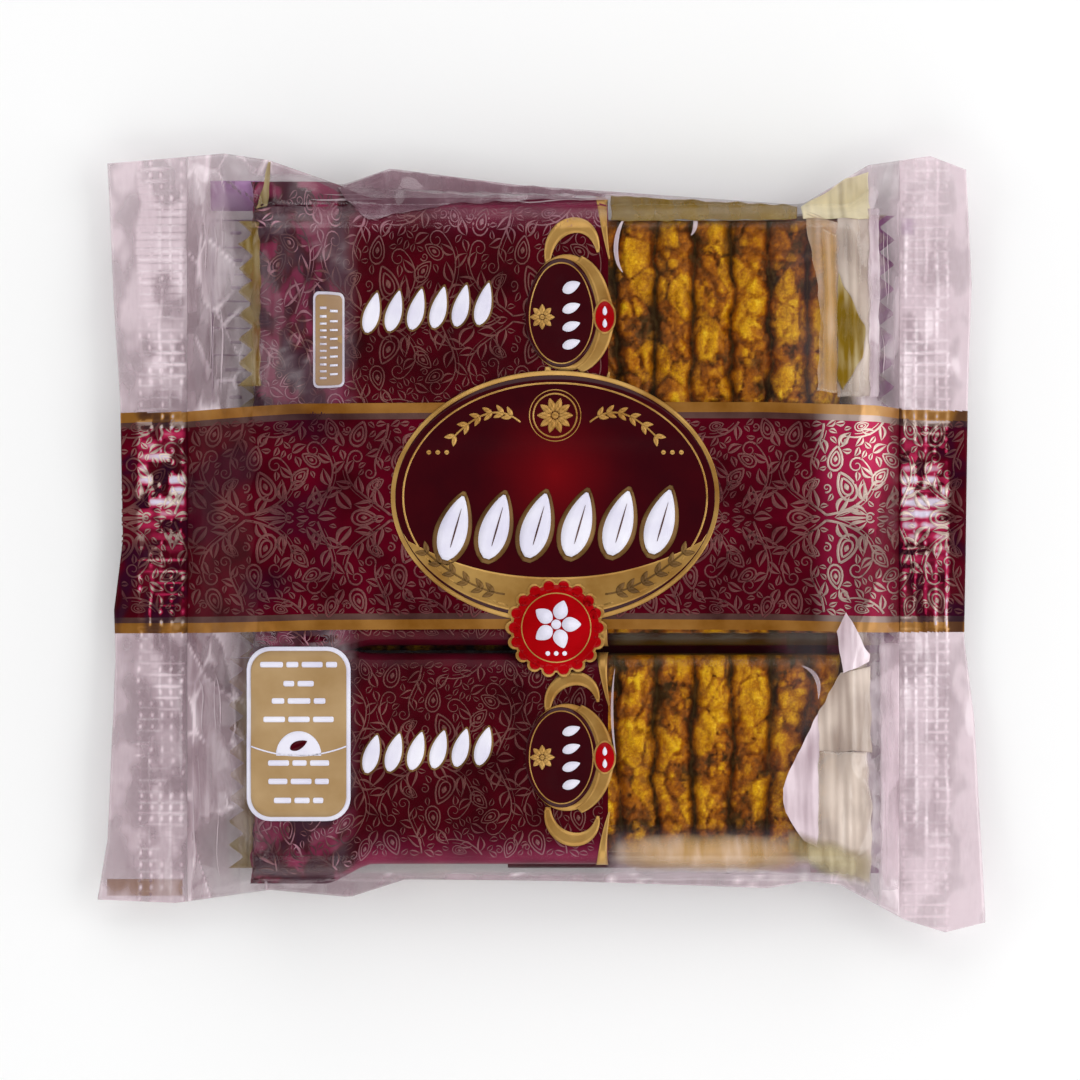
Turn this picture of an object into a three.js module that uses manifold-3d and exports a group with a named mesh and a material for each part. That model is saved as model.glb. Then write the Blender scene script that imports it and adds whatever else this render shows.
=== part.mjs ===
// A sealed clear pack of six nougat bars, two layers of three side by side, lying on its back.
// The film is one tube: it hugs the bars, tapers to a crimped seal at each end, and its long
// seam lies folded flat along the underside.
//
// Millimetres. X runs along the bars, Y across them and Z up. The origin is under the middle of
// the pack, on the surface that it lies on.
import * as THREE from "three";
import { mergeVertices } from "three/addons/utils/BufferGeometryUtils.js";
import Module from "manifold-3d";

// The bars, as the film shows them.
const BAR_WIDTH = 37;
const BAR_PITCH = 39.4;
const MIDDLE_BAR_Y = 1.0;
const BARS_LEFT_X = -50.5;
const BARS_RIGHT_X = 55.5;

// The film round them.
const PACK_TOP_Z = 18.4;
const BASE_Z = 0.5; // underside of the bars' film; only the seam reaches lower
const FIN_Z = 7.0; // height of the two end seals
const SKIN = 0.4; // half the thickness of a seal or a loose flap of film
const SIDE_TOP_Y = 60.8; // where the film turns down the outer bars' long sides
const SIDE_BOTTOM_Y = -60.4;
const SHOULDER = 5.0; // how far in from a long side the film starts to turn down
const CORNER_SLOPE = 13.0; // the same, at the corners next to an end seal
const VALLEY_DEPTH = 1.5; // the film's dip between two bars
const VALLEY_HALF = 2.6;

// The crimped end seals: smooth margin outside, ridges inside.
const LEFT_SEAL_X = -63.7;
const RIGHT_SEAL_X = 64.5;
const CRIMP_LENGTH = 9.4;
const RIDGE_PITCH = 2.07;
const RIDGE_HEIGHT = 0.45;
const FIN_OVERLAP = 1.2; // how far the body reaches into each seal before they are joined

// The seam folded flat under the pack.
const SEAM_FROM_Y = -11.5;
const SEAM_TO_Y = -0.5;
const SEAM_SINK = 0.25; // how far the seam reaches into the body before they are joined

// The film's edge seen from above: [x, y] where it changes direction.
const TOP_EDGE = [
  [-78.1, 68.3], [-57.0, 70.1], [-49.0, 68.9], [-36.2, 64.4], [-34.4, 64.9], [-27.2, 67.4],
  [-3.8, 64.4], [45.7, 60.9], [47.5, 61.2], [58.9, 68.0], [70.0, 69.6], [76.5, 67.1],
];
const BOTTOM_EDGE = [
  [-79.9, -64.3], [-65.9, -64.9], [-48.8, -62.5], [-34.4, -63.8], [-24.5, -60.6], [3.4, -60.9],
  [41.2, -62.2], [47.7, -60.9], [53.8, -61.6], [65.5, -67.9], [72.7, -70.1], [79.9, -68.3],
];
// The cut ends of the seals: [y, x].
const LEFT_CUT = [
  [-64.3, -79.9], [-53.5, -78.1], [-21.0, -76.7], [-12.1, -77.0], [0.5, -75.4], [25.7, -75.8],
  [43.7, -77.0], [68.3, -78.1],
];
const RIGHT_CUT = [[-68.3, 79.9], [-32.0, 78.1], [-17.5, 76.3], [25.7, 76.9], [47.3, 77.6], [67.1, 76.5]];

const STATION_GAP = 6.0; // the furthest that two cross-sections of the body stand apart
const STATION_MERGE = 1.6; // and the closest
const FLANK_FROM_Y = 56.6; // rows outside this spread out to the film's edge
const FLANK_SHARES = [0.22, 0.45, 0.65, 0.82, 0.94, 1];
const RIDGE_SHARES = [0, 0.08, 0.55, 0.62, 1]; // columns of a seal, from its inner to its cut end
const CRIMP_FROM = 1; // the first and last of those columns that have ridges
const CRIMP_TO = 2;

const clamp01 = (value) => THREE.MathUtils.clamp(value, 0, 1);
const { lerp } = THREE.MathUtils;

// The value at x of a line drawn straight from point to point.
function along(points, x) {
  const next = points.findIndex(([at]) => at > x);
  if (next === 0) return points[0][1];
  if (next < 0) return points.at(-1)[1];
  const [x0, y0] = points[next - 1];
  const [x1, y1] = points[next];
  return lerp(y0, y1, (x - x0) / (x1 - x0));
}

// 0 at an end seal, 1 over the bars.
function fullness(x) {
  const left = (x - LEFT_SEAL_X) / (BARS_LEFT_X - LEFT_SEAL_X);
  const right = (RIGHT_SEAL_X - x) / (RIGHT_SEAL_X - BARS_RIGHT_X);
  return clamp01(Math.min(left, right));
}

// The height of the seals and of the loose film: it droops towards the cut ends and waves along them.
function finHeight(x, y) {
  const out = clamp01((Math.abs(x) - 58) / 20);
  const wave = Math.sin(y / 10.5 + Math.sign(x)) + 0.6 * Math.sin(y / 23 - 1.2 * Math.sign(x));
  return FIN_Z + out * (0.9 * wave - 1.5 + 2.2 * (y / 68) ** 4);
}

// How far the film is lifted off the seals' height: 0 on a seal or flap, 1 over the bars.
function lift(x, y) {
  const full = fullness(x);
  const edge = y > 0 ? along(TOP_EDGE, x) : -along(BOTTOM_EDGE, x);
  const side = y > 0 ? SIDE_TOP_Y : -SIDE_BOTTOM_Y;
  const reach = lerp(edge, side, full);
  const inside = clamp01((reach - Math.abs(y)) / lerp(CORNER_SLOPE, SHOULDER, full));
  const ends = 1 - (1 - full) ** 1.35;
  return ends * (1 - (1 - inside) ** lerp(1.25, 2.6, full));
}

// The dip of the film between neighbouring bars.
function valley(y) {
  const gaps = [-0.5, 0.5].map((side) => MIDDLE_BAR_Y + side * BAR_PITCH);
  return gaps.reduce((sum, gap) => sum + VALLEY_DEPTH * Math.exp(-(((y - gap) / VALLEY_HALF) ** 2)), 0);
}

function topZ(x, y) {
  const from = finHeight(x, y) + SKIN;
  return from + (PACK_TOP_Z - from - valley(y)) * lift(x, y);
}

function bottomZ(x, y) {
  const from = finHeight(x, y) - SKIN;
  return from - (from - BASE_Z) * Math.min(1, 1.12 * lift(x, y));
}

// A closed slab: the grid of a box, with each point of its top and bottom put in its own place.
function slab(columns, rows, place) {
  const box = new THREE.BoxGeometry(1, 1, 1, columns, rows, 1);
  const at = box.getAttribute("position");
  for (let i = 0; i < at.count; i++) {
    const column = Math.round((at.getX(i) + 0.5) * columns);
    const row = Math.round((at.getY(i) + 0.5) * rows);
    at.setXYZ(i, ...place(column, row, at.getZ(i) > 0));
  }
  box.deleteAttribute("normal");
  box.deleteAttribute("uv");
  return mergeVertices(box, 1e-4);
}

// The x of each cross-section: every turn of the film's edge, and more between turns that stand far apart.
function bodyStations() {
  const from = LEFT_SEAL_X - FIN_OVERLAP;
  const to = RIGHT_SEAL_X + FIN_OVERLAP;
  const turns = [...TOP_EDGE, ...BOTTOM_EDGE].map(([x]) => x);
  const wanted = [LEFT_SEAL_X, BARS_LEFT_X, BARS_RIGHT_X, RIGHT_SEAL_X, ...turns].sort((a, b) => a - b);
  const kept = [from];
  for (const x of [...wanted.filter((at) => at > from + 1 && at < to - STATION_MERGE), to]) {
    const last = kept.at(-1);
    if (x - last < STATION_MERGE && x !== to) continue;
    const parts = Math.ceil((x - last) / STATION_GAP);
    for (let k = 1; k <= parts; k++) kept.push(lerp(last, x, k / parts));
  }
  return kept;
}

// The y of each row between the two flanks: seven over each bar and one in each gap.
function innerRows() {
  const rows = [];
  for (const bar of [-1, 0, 1]) {
    const centre = MIDDLE_BAR_Y + bar * BAR_PITCH;
    for (const share of [-1, -0.86, -0.4, 0.4, 0.86, 1]) rows.push(centre + (share * BAR_WIDTH) / 2);
    if (bar < 1) rows.push(centre + BAR_PITCH / 2);
  }
  return rows.filter((y) => Math.abs(y) < FLANK_FROM_Y);
}

function body() {
  const stations = bodyStations();
  const inner = innerRows();
  const rows = [...FLANK_SHARES.map((s) => -s).reverse(), -0.001, ...inner.map(() => null), 0.001, ...FLANK_SHARES];
  return slab(stations.length - 1, rows.length - 1, (column, row, top) => {
    const x = stations[column];
    const share = rows[row];
    let y = inner[row - FLANK_SHARES.length - 1];
    if (share !== null) {
      const edge = along(share > 0 ? TOP_EDGE : BOTTOM_EDGE, x);
      y = lerp(Math.sign(share) * FLANK_FROM_Y, edge, Math.abs(share));
    }
    const thin = Math.abs(x) > Math.min(-LEFT_SEAL_X, RIGHT_SEAL_X) + 0.5 ? 0.2 : 0;
    return [x, y, top ? topZ(x, y) - thin : bottomZ(x, y) + thin];
  });
}

// An end seal: two layers of film pressed into ridges that run along X, with a smooth margin outside.
function seal(innerX, cut) {
  const edgeX = Math.sign(innerX) * 77;
  const span = along(TOP_EDGE, edgeX) - along(BOTTOM_EDGE, edgeX);
  const rows = 2 * Math.round(span / RIDGE_PITCH);
  const mirrored = innerX < 0;
  return slab(RIDGE_SHARES.length - 1, rows, (column, row, top) => {
    const k = mirrored ? RIDGE_SHARES.length - 1 - column : column;
    const share = RIDGE_SHARES[k];
    const rough = lerp(innerX, edgeX, share);
    const y = lerp(along(BOTTOM_EDGE, rough), along(TOP_EDGE, rough), row / rows);
    const crimped = k >= CRIMP_FROM && k <= CRIMP_TO;
    const crimpEnd = innerX + Math.sign(innerX) * CRIMP_LENGTH;
    const x = share <= RIDGE_SHARES[CRIMP_TO]
      ? lerp(innerX, crimpEnd, share / RIDGE_SHARES[CRIMP_TO])
      : lerp(crimpEnd, along(cut, y), (share - RIDGE_SHARES[CRIMP_TO]) / (1 - RIDGE_SHARES[CRIMP_TO]));
    const ridge = crimped ? (row % 2 ? 0.5 : -0.5) * RIDGE_HEIGHT : 0;
    return [x, y, finHeight(x, y) + ridge + (top ? SKIN : -SKIN)];
  });
}

// The folded seam: a flat strip that follows the underside from seal to seal.
function seam() {
  const stations = bodyStations().filter((x) => x > LEFT_SEAL_X && x < RIGHT_SEAL_X);
  return slab(stations.length - 1, 1, (column, row, top) => {
    const x = stations[column];
    const y = row ? SEAM_TO_Y : SEAM_FROM_Y;
    const under = bottomZ(x, y);
    return [x, y, top ? under + SEAM_SINK : under - BASE_Z];
  });
}

// Joins closed geometries into one.
async function joined(geometries) {
  const wasm = await Module();
  wasm.setup();
  const solids = geometries.map((geometry) => new wasm.Manifold(new wasm.Mesh({
    numProp: 3,
    vertProperties: geometry.getAttribute("position").array,
    triVerts: new Uint32Array(geometry.index.array),
  })));
  const mesh = solids.reduce((all, next) => all.add(next)).getMesh();
  return new THREE.BufferGeometry()
    .setAttribute("position", new THREE.BufferAttribute(mesh.vertProperties, 3))
    .setIndex(new THREE.BufferAttribute(mesh.triVerts, 1));
}

const film = new THREE.MeshStandardMaterial({ color: 0xb49dab, roughness: 0.2, metalness: 0 });
const bag = new THREE.Mesh(
  await joined([body(), seal(LEFT_SEAL_X, LEFT_CUT), seal(RIGHT_SEAL_X, RIGHT_CUT), seam()]),
  film,
);
bag.name = "bag";
bag.geometry.computeVertexNormals();

const pack = new THREE.Group();
pack.add(bag);
export default pack;
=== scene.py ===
# %% [markdown]
# # A clear pack of nougat bars
#
# The real thing is a bag of thin clear film, crimped shut at both ends, with a dark red band printed
# along its middle. Six wrapped bars lie in it, three side by side in two layers. Here the film is one
# closed envelope round the bars, and the print is thin flat shapes that follow it. All is worked out in
# millimetres.

# %% Load the packed solid
import functools
import math

import bpy
import numpy as np
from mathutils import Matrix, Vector


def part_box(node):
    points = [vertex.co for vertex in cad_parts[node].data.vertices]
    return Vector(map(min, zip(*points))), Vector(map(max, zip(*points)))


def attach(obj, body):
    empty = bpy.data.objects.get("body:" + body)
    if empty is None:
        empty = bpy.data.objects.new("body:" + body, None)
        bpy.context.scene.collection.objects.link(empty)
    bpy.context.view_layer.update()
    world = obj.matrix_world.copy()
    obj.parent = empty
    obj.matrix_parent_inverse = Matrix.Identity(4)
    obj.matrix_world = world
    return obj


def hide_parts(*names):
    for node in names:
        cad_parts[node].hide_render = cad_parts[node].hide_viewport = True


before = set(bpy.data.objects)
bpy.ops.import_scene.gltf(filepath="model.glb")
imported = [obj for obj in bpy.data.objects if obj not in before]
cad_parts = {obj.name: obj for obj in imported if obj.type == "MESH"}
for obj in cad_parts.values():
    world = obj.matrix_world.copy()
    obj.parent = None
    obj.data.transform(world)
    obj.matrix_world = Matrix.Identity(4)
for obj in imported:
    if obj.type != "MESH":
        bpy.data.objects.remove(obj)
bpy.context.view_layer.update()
bag_low, bag_high = (np.array(corner) * 1000 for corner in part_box("bag"))
print("the solid bag runs from", bag_low.round(1), "to", bag_high.round(1), "mm")

# %% [markdown]
# ## The camera
#
# The pack lies on its back and is seen from straight above. A short lens close by would make its sides
# lean outwards. A long lens from nearly two metres away keeps them upright, so they hardly show.

# %% Hang the camera over the pack
MM = 0.001
VIEW_WIDTH = 194.4  # what the frame takes in, at the height of the seals
VIEW_CENTRE = (-0.2, 0.5)
SEAL_HEIGHT = 8.0
CAMERA_DISTANCE = 1800.0
SENSOR = 36.0


def hang_camera():
    """A perspective camera looking along -Z, its lens set so that VIEW_WIDTH fills the frame's side."""
    data = bpy.data.cameras.new("camera")
    data.sensor_width = SENSOR
    data.lens = SENSOR * CAMERA_DISTANCE / VIEW_WIDTH
    camera = bpy.data.objects.new("camera", data)
    camera.location = (VIEW_CENTRE[0] * MM, VIEW_CENTRE[1] * MM, (SEAL_HEIGHT + CAMERA_DISTANCE) * MM)
    bpy.context.scene.collection.objects.link(camera)
    bpy.context.scene.camera = camera
    print("lens", round(data.lens, 1), "mm")


hang_camera()

# %% [markdown]
# ## Small tools for numbers
#
# Film and nougat are uneven, and unevenness here is noise, a smooth random height. Perlin's recipe blends
# random slopes on the corners of a grid, and its absolute value has sharp creases, like crumpled sheet.
# Worley's recipe scatters points and asks which is nearest, which gives a mosaic. Blender has both as
# textures, but here they shape the meshes too, so numpy works them out.

# %% Noise
TABLE = 64  # the random tables repeat after this many squares
NOISE_GAIN = 1.6  # brings the noise's usual peaks near to -1 and 1
FARTHEST = 9.0  # further than any point of a mosaic can be


@functools.cache
def random_table(seed, layers):
    """A fixed square table of random numbers from 0 to 1, in a number of layers."""
    return np.random.default_rng(seed).random((TABLE, TABLE, layers))


def smooth(t):
    """0 to 1 along a curve that starts and ends level: 3t^2 - 2t^3, with t held between 0 and 1."""
    t = np.clip(t, 0.0, 1.0)
    return t * t * (3 - 2 * t)


def noise(x, y, seed):
    """Perlin noise: at each grid corner a random unit slope, times the way to the corner, blended by
    smooth()."""
    angles = random_table(seed, 1)[..., 0] * 2 * np.pi
    i, j = np.floor(x).astype(int), np.floor(y).astype(int)
    fx, fy = x - i, y - j
    total = np.zeros(np.broadcast(x, y).shape)
    for di in (0, 1):
        for dj in (0, 1):
            angle = angles[(i + di) % TABLE, (j + dj) % TABLE]
            ramp = np.cos(angle) * (fx - di) + np.sin(angle) * (fy - dj)
            weight = smooth(1 - abs(fx - di)) * smooth(1 - abs(fy - dj))
            total += weight * ramp
    return NOISE_GAIN * total


def crumple(x, y, seed):
    """Film creases: three layers of absolute noise, each twice as fine and half as high. 0 is a crease."""
    return sum(abs(noise(x * 2**k, y * 2**k, seed + k)) / 2**k for k in range(3))


def cells(x, y, seed):
    """Worley noise: one random point in each square of a grid. Gives the distance to the nearest, how much
    further the next one is, and a random number of the nearest's own."""
    table = random_table(seed, 3)
    jitter, own = table[..., :2], table[..., 2]
    i, j = np.floor(x).astype(int), np.floor(y).astype(int)
    nearest = np.full(np.broadcast(x, y).shape, FARTHEST)
    second = nearest.copy()
    label = np.zeros_like(nearest)
    for di in (-1, 0, 1):
        for dj in (-1, 0, 1):
            a, b = (i + di) % TABLE, (j + dj) % TABLE
            away = np.hypot(i + di + jitter[a, b, 0] - x, j + dj + jitter[a, b, 1] - y)
            closer = away < nearest
            second = np.where(closer, nearest, np.minimum(second, away))
            label = np.where(closer, own[a, b], label)
            nearest = np.where(closer, away, nearest)
    return nearest, second - nearest, label


sample = noise(np.linspace(0, TABLE, 999), 0.5, 1)
print("noise along one line runs from", sample.min().round(2), "to", sample.max().round(2))

# %% [markdown]
# ## Small tools for meshes
#
# Every shape below is a grid of points, a ribbon or a flat patch. These helpers turn whole arrays into
# Blender meshes at once. A print of many leaves is joined while it is still arrays.

# %% Arrays into meshes
def grid_faces(rows, columns):
    """Four-sided faces of a grid stored row by row, facing up where its rows run along X."""
    index = np.arange(rows * columns).reshape(rows, columns)
    return np.stack([index[:-1, :-1], index[1:, :-1], index[1:, 1:], index[:-1, 1:]], -1).reshape(-1, 4)


def join(parts):
    """(points, faces) of several parts as one, the faces' numbers moved on past the parts before."""
    points, faces, start = [], [], 0
    for at, corners in parts:
        points.append(at)
        faces.append(corners + start)
        start += len(at)
    return np.concatenate(points), np.concatenate(faces)


def piece(name, points, faces, materials, face_material=None, attributes=None):
    """A mesh object from points in millimetres and faces of four corners, riding on the bag's body."""
    mesh = bpy.data.meshes.new(name)
    size = faces.shape[1]
    mesh.vertices.add(len(points))
    mesh.vertices.foreach_set("co", (np.asarray(points) * MM).astype(np.float32).ravel())
    mesh.loops.add(faces.size)
    mesh.loops.foreach_set("vertex_index", faces.astype(np.int32).ravel())
    mesh.polygons.add(len(faces))
    mesh.polygons.foreach_set("loop_start", np.arange(len(faces), dtype=np.int32) * size)
    for material in materials:
        mesh.materials.append(material)
    if face_material is not None:
        mesh.polygons.foreach_set("material_index", face_material.astype(np.int32))
    mesh.polygons.foreach_set("use_smooth", np.ones(len(faces), bool))
    for key, values in (attributes or {}).items():
        attribute = mesh.attributes.new(key, "FLOAT", "POINT")
        attribute.data.foreach_set("value", values.astype(np.float32).ravel())
    mesh.update(calc_edges=True)
    mesh.validate()
    obj = bpy.data.objects.new(name, mesh)
    bpy.context.scene.collection.objects.link(obj)
    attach(obj, "root")
    print(name, len(faces), "faces")
    return obj


print("a grid of 3 by 4 points has", len(grid_faces(3, 4)), "faces")

# %% [markdown]
# ## Closed shells
#
# Each thing here is thin or flat: a film, a print, a slab. Blender's Solidify modifier could thicken a
# sheet, but then both faces would be alike, and film is printed on one. So one helper takes an upper and
# a lower grid of points, faces the lower one down, and joins their rims with a band of faces.

# %% Close two grids into a shell
def shell(upper, lower):
    """Points and faces of a closed shell between two grids, each shaped (rows along X, columns along Y,
    3)."""
    rows, columns = upper.shape[:2]
    top = grid_faces(rows, columns)
    count = rows * columns
    index = np.arange(count).reshape(rows, columns)
    rim = np.concatenate([index[0, :-1], index[:-1, -1], index[-1, :0:-1], index[:0:-1, 0]])
    after = np.roll(rim, -1)
    band = np.stack([rim, after, after + count, rim + count], 1)
    faces = np.concatenate([top, top[:, ::-1] + count, band])
    return np.concatenate([upper.reshape(-1, 3), lower.reshape(-1, 3)]), faces


square = np.stack([*np.meshgrid([0.0, 1.0], [0.0, 1.0], indexing="ij"), np.ones((2, 2))], -1)
print("a box from two squares has", len(shell(square, square - [0, 0, 1])[1]), "faces")

# %% [markdown]
# ## Shader maths
#
# A material is a drawing of nodes, and drawn by hand even a short sum takes many boxes and threads. So a
# node's output is wrapped in a small class, and `1 - mask * 0.5` adds the Math nodes it needs.

# %% Wires
def srgb(red, green, blue):
    """A colour as a screen shows it, 0 to 255, turned into the linear light that shaders count in."""
    part = np.array([red, green, blue]) / 255
    linear = np.where(part < 0.04045, part / 12.92, ((part + 0.055) / 1.055) ** 2.4)
    return (*linear.tolist(), 1.0)


class Wire:
    """One output of a node. Each sign between wires and numbers adds one Math node."""

    def __init__(self, recipe, socket):
        self.recipe = recipe
        self.socket = socket

    def math(self, operation, *values):
        return self.recipe.node("ShaderNodeMath", {"operation": operation}, *values)

    def __add__(self, other):
        return self.math("ADD", self, other)

    def __sub__(self, other):
        return self.math("SUBTRACT", self, other)

    def __rsub__(self, other):
        return self.math("SUBTRACT", other, self)

    def __mul__(self, other):
        return self.math("MULTIPLY", self, other)

    def __pow__(self, other):
        return self.math("POWER", self, other)

    def __truediv__(self, other):
        return self.math("DIVIDE", self, other)

    __radd__ = __add__
    __rmul__ = __mul__

    def held(self, low=0.0, high=1.0):
        """The value, kept between low and high."""
        return self.recipe.node("ShaderNodeClamp", {}, self, low, high)

    def steps(self, *stops):
        """A colour ramp: each stop is a place from 0 to 1 and its colour."""
        return self.recipe.node("ShaderNodeValToRGB", {"stops": stops}, self)


print("mid grey on a screen gives", round(srgb(128, 128, 128)[0], 2), "of the light of white")

# %% [markdown]
# ## Recipes
#
# A recipe is a material while it is being written. It starts from Blender's Principled shader, which can
# be film, ink or caramel by its numbers alone. Patterns read the place on the object itself, in
# millimetres, so their grain has a real size.

# %% Recipes
class Recipe:
    """A material that starts with a Principled shader, and adds nodes as they are asked for."""

    def __init__(self, name, **constants):
        self.material = bpy.data.materials.new(name)
        self.material.use_nodes = True
        self.tree = self.material.node_tree
        self.shader = self.tree.nodes["Principled BSDF"]
        for key, value in constants.items():
            self.set(key.replace("_", " "), value)

    def set(self, key, value):
        """Sets a socket of the Principled shader to a value, or feeds it from a wire."""
        if isinstance(value, Wire):
            self.tree.links.new(value.socket, self.shader.inputs[key])
        else:
            self.shader.inputs[key].default_value = value

    def node(self, kind, settings, *values, output=0, **named):
        """A new node: its settings first, then its inputs in order or by name. Gives back one output."""
        node = self.tree.nodes.new(kind)
        for key, value in settings.items():
            if key == "stops":
                self.fill_ramp(node.color_ramp, value)
            else:
                setattr(node, key, value)
        inputs = [*enumerate(values), *((key.replace("_", " "), value) for key, value in named.items())]
        for key, value in inputs:
            if isinstance(value, Wire):
                self.tree.links.new(value.socket, node.inputs[key])
            elif value is not None:
                node.inputs[key].default_value = value
        return Wire(self, node.outputs[output])

    def fill_ramp(self, ramp, stops):
        for index, (place, colour) in enumerate(stops):
            stop = ramp.elements[index] if index < 2 else ramp.elements.new(place)
            stop.position = place
            stop.color = colour

    def at(self, stretch=(1, 1, 1)):
        """The place on the object in millimetres, stretched along an axis where the pattern is finer."""
        place = self.node("ShaderNodeTexCoord", {}, output="Object")
        scale = Vector(stretch) / MM
        return self.node("ShaderNodeVectorMath", {"operation": "MULTIPLY"}, place, scale)

    def grain(self, size, detail=2.0, stretch=(1, 1, 1), rough=0.5):
        """Soft noise from 0 to 1 with lumps of the given size in millimetres."""
        return self.node("ShaderNodeTexNoise", {}, Vector=self.at(stretch), Scale=1 / size, Detail=detail,
                         Roughness=rough)

    def attribute(self, name):
        return self.node("ShaderNodeAttribute", {"attribute_name": name}, output="Fac")

    def mix(self, factor, first, second):
        """A blend of two colours."""
        mixed = self.node("ShaderNodeMix", {"data_type": "RGBA"}, factor, output=2)
        for key, value in ((6, first), (7, second)):
            socket = mixed.socket.node.inputs[key]
            if isinstance(value, Wire):
                self.tree.links.new(value.socket, socket)
            else:
                socket.default_value = value
        return mixed

    def bump(self, height, distance):
        """Feeds a height from 0 to 1 into the shader's Normal, distance millimetres deep."""
        bumped = self.node("ShaderNodeBump", {}, Height=height, Distance=distance * MM)
        self.set("Normal", bumped)


print("a recipe can", ", ".join(name for name in vars(Recipe) if not name.startswith("_")))

# %% [markdown]
# ## Clear film
#
# Clear film is mostly not there: only its haze and its gloss are seen. Glass that bends light would be
# one way, but it renders slowly. So the film is see-through by its Alpha. Haze is a number on each point,
# because film that clings to a bar is clear and loose film is milky. The gloss is a coat. Alpha thins a
# coat as well, so this one reflects more than a plastic coat would.

# %% Clear film
FILM_IOR = 3.0
GLOSS_SHARE = 0.055
CLINGING_GLOSS = 0.2  # film that clings shows this much of the gloss of loose film
CLOUD_SIZE = 9.0
SCUFF_SIZE = 0.5
SCUFF_DEPTH = 0.010
BLACK = (0, 0, 0, 1)
MAUVE = srgb(154, 112, 128)
# The milky colour of loose film, and also the colour of the painted highlights on it.
MILK_AND_HIGHLIGHT = srgb(248, 228, 236)
OLIVE = srgb(138, 106, 8)
STRAW = srgb(242, 228, 190)


def clear_film(name, tint, milky, roughness, sheen=0.30):
    """Clear film. Haze and a share for gloss add up to its Alpha, and only the haze has a colour. Sheen is
    how much the haze shines."""
    recipe = Recipe(name, Coat_IOR=FILM_IOR, Coat_Roughness=roughness, Specular_IOR_Level=0.1, Roughness=0.5)
    clouds = recipe.grain(CLOUD_SIZE, 4.0)
    haze = recipe.attribute("haze") * (0.8 + clouds * 0.4)
    # The white attribute turns the haze from its tint to its milky colour. Besides milkiness, it carries
    # painted highlights on creases, crimps, facets and the right end.
    white = recipe.attribute("white")
    scuffs = recipe.grain(SCUFF_SIZE, 3.0, (1, 0.15, 1))
    gloss = ((haze * 6).held() * (1 - CLINGING_GLOSS) + CLINGING_GLOSS) * GLOSS_SHARE
    alpha = (haze + gloss).held(0.0, 0.95)
    colour = recipe.mix((white + clouds * 0.5 + scuffs * 0.3 - 0.4).held(), tint, milky)
    recipe.set("Base Color", recipe.mix(haze / alpha, BLACK, colour))
    recipe.set("Coat Weight", (gloss + haze * sheen) / alpha)
    recipe.set("Alpha", alpha)
    recipe.bump(scuffs, SCUFF_DEPTH)
    return recipe.material


film_clear = clear_film("clear_film", MAUVE, MILK_AND_HIGHLIGHT, 0.10)
wrapper_clear = clear_film("olive_film", OLIVE, STRAW, 0.12, 0.05)
amber_film = clear_film("amber_film", srgb(222, 172, 88), srgb(246, 220, 204), 0.12, 0.12)
pale_film = clear_film("pale_film", srgb(184, 162, 150), srgb(248, 230, 216), 0.12, 0.16)
print(len(bpy.data.materials), "clear films")

# %% [markdown]
# ## Ink under film
#
# The bag is printed on the inside of its film, so ink has the film's gloss over it. It isn't one flat
# colour: it drifts and it dulls in streaks. Where the film tips towards a lamp, a painted highlight turns
# it pale, and in crumpled places painted shade darkens it. Each ink is a finish for a shape of its own,
# where a picture on the film would blur near by.

# %% Inks
# Painted shade turns a print indigo, and painted highlight turns it lilac.
SHADE_INDIGO = srgb(30, 8, 34)
HIGHLIGHT_LILAC = srgb(224, 214, 234)
INK_COAT_IOR = 1.42
DRIFT_SIZE = 7.0
STREAK_SIZE = 0.8
STREAK_DEPTH = 0.01


def print_finish(name, dark, light, metallic, roughness, coat, lit):
    """Ink under glossy film, drifting between two shades and dulled in faint streaks. Where the mesh's
    "gleam" is positive, a painted highlight turns it to its lit colour and then to lilac. Where gleam is
    negative, painted shade turns it to indigo."""
    recipe = Recipe(name, Metallic=metallic, Coat_Roughness=0.08, Coat_IOR=INK_COAT_IOR,
                    Specular_IOR_Level=0.05)
    drift = recipe.grain(DRIFT_SIZE, 4.0)
    streaks = recipe.grain(STREAK_SIZE, 3.0, (0.25, 1, 1))
    colour = recipe.mix((drift * 2.2 - 0.6).held(), dark, light)
    if lit:
        # gleam is painted light: above 0 it is painted highlight, below 0 painted shade.
        gleam = recipe.attribute("gleam")
        colour = recipe.mix((gleam * 2).held(), colour, lit)
        colour = recipe.mix((gleam * 2 - 1).held(), colour, HIGHLIGHT_LILAC)
        colour = recipe.mix((gleam * -1).held(), colour, SHADE_INDIGO)
    recipe.set("Base Color", colour)
    recipe.set("Roughness", roughness + streaks * 0.10)
    recipe.set("Coat Weight", coat * (0.7 + drift * 0.5))
    recipe.bump(streaks, STREAK_DEPTH)
    return recipe.material


INKS = {}
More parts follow.
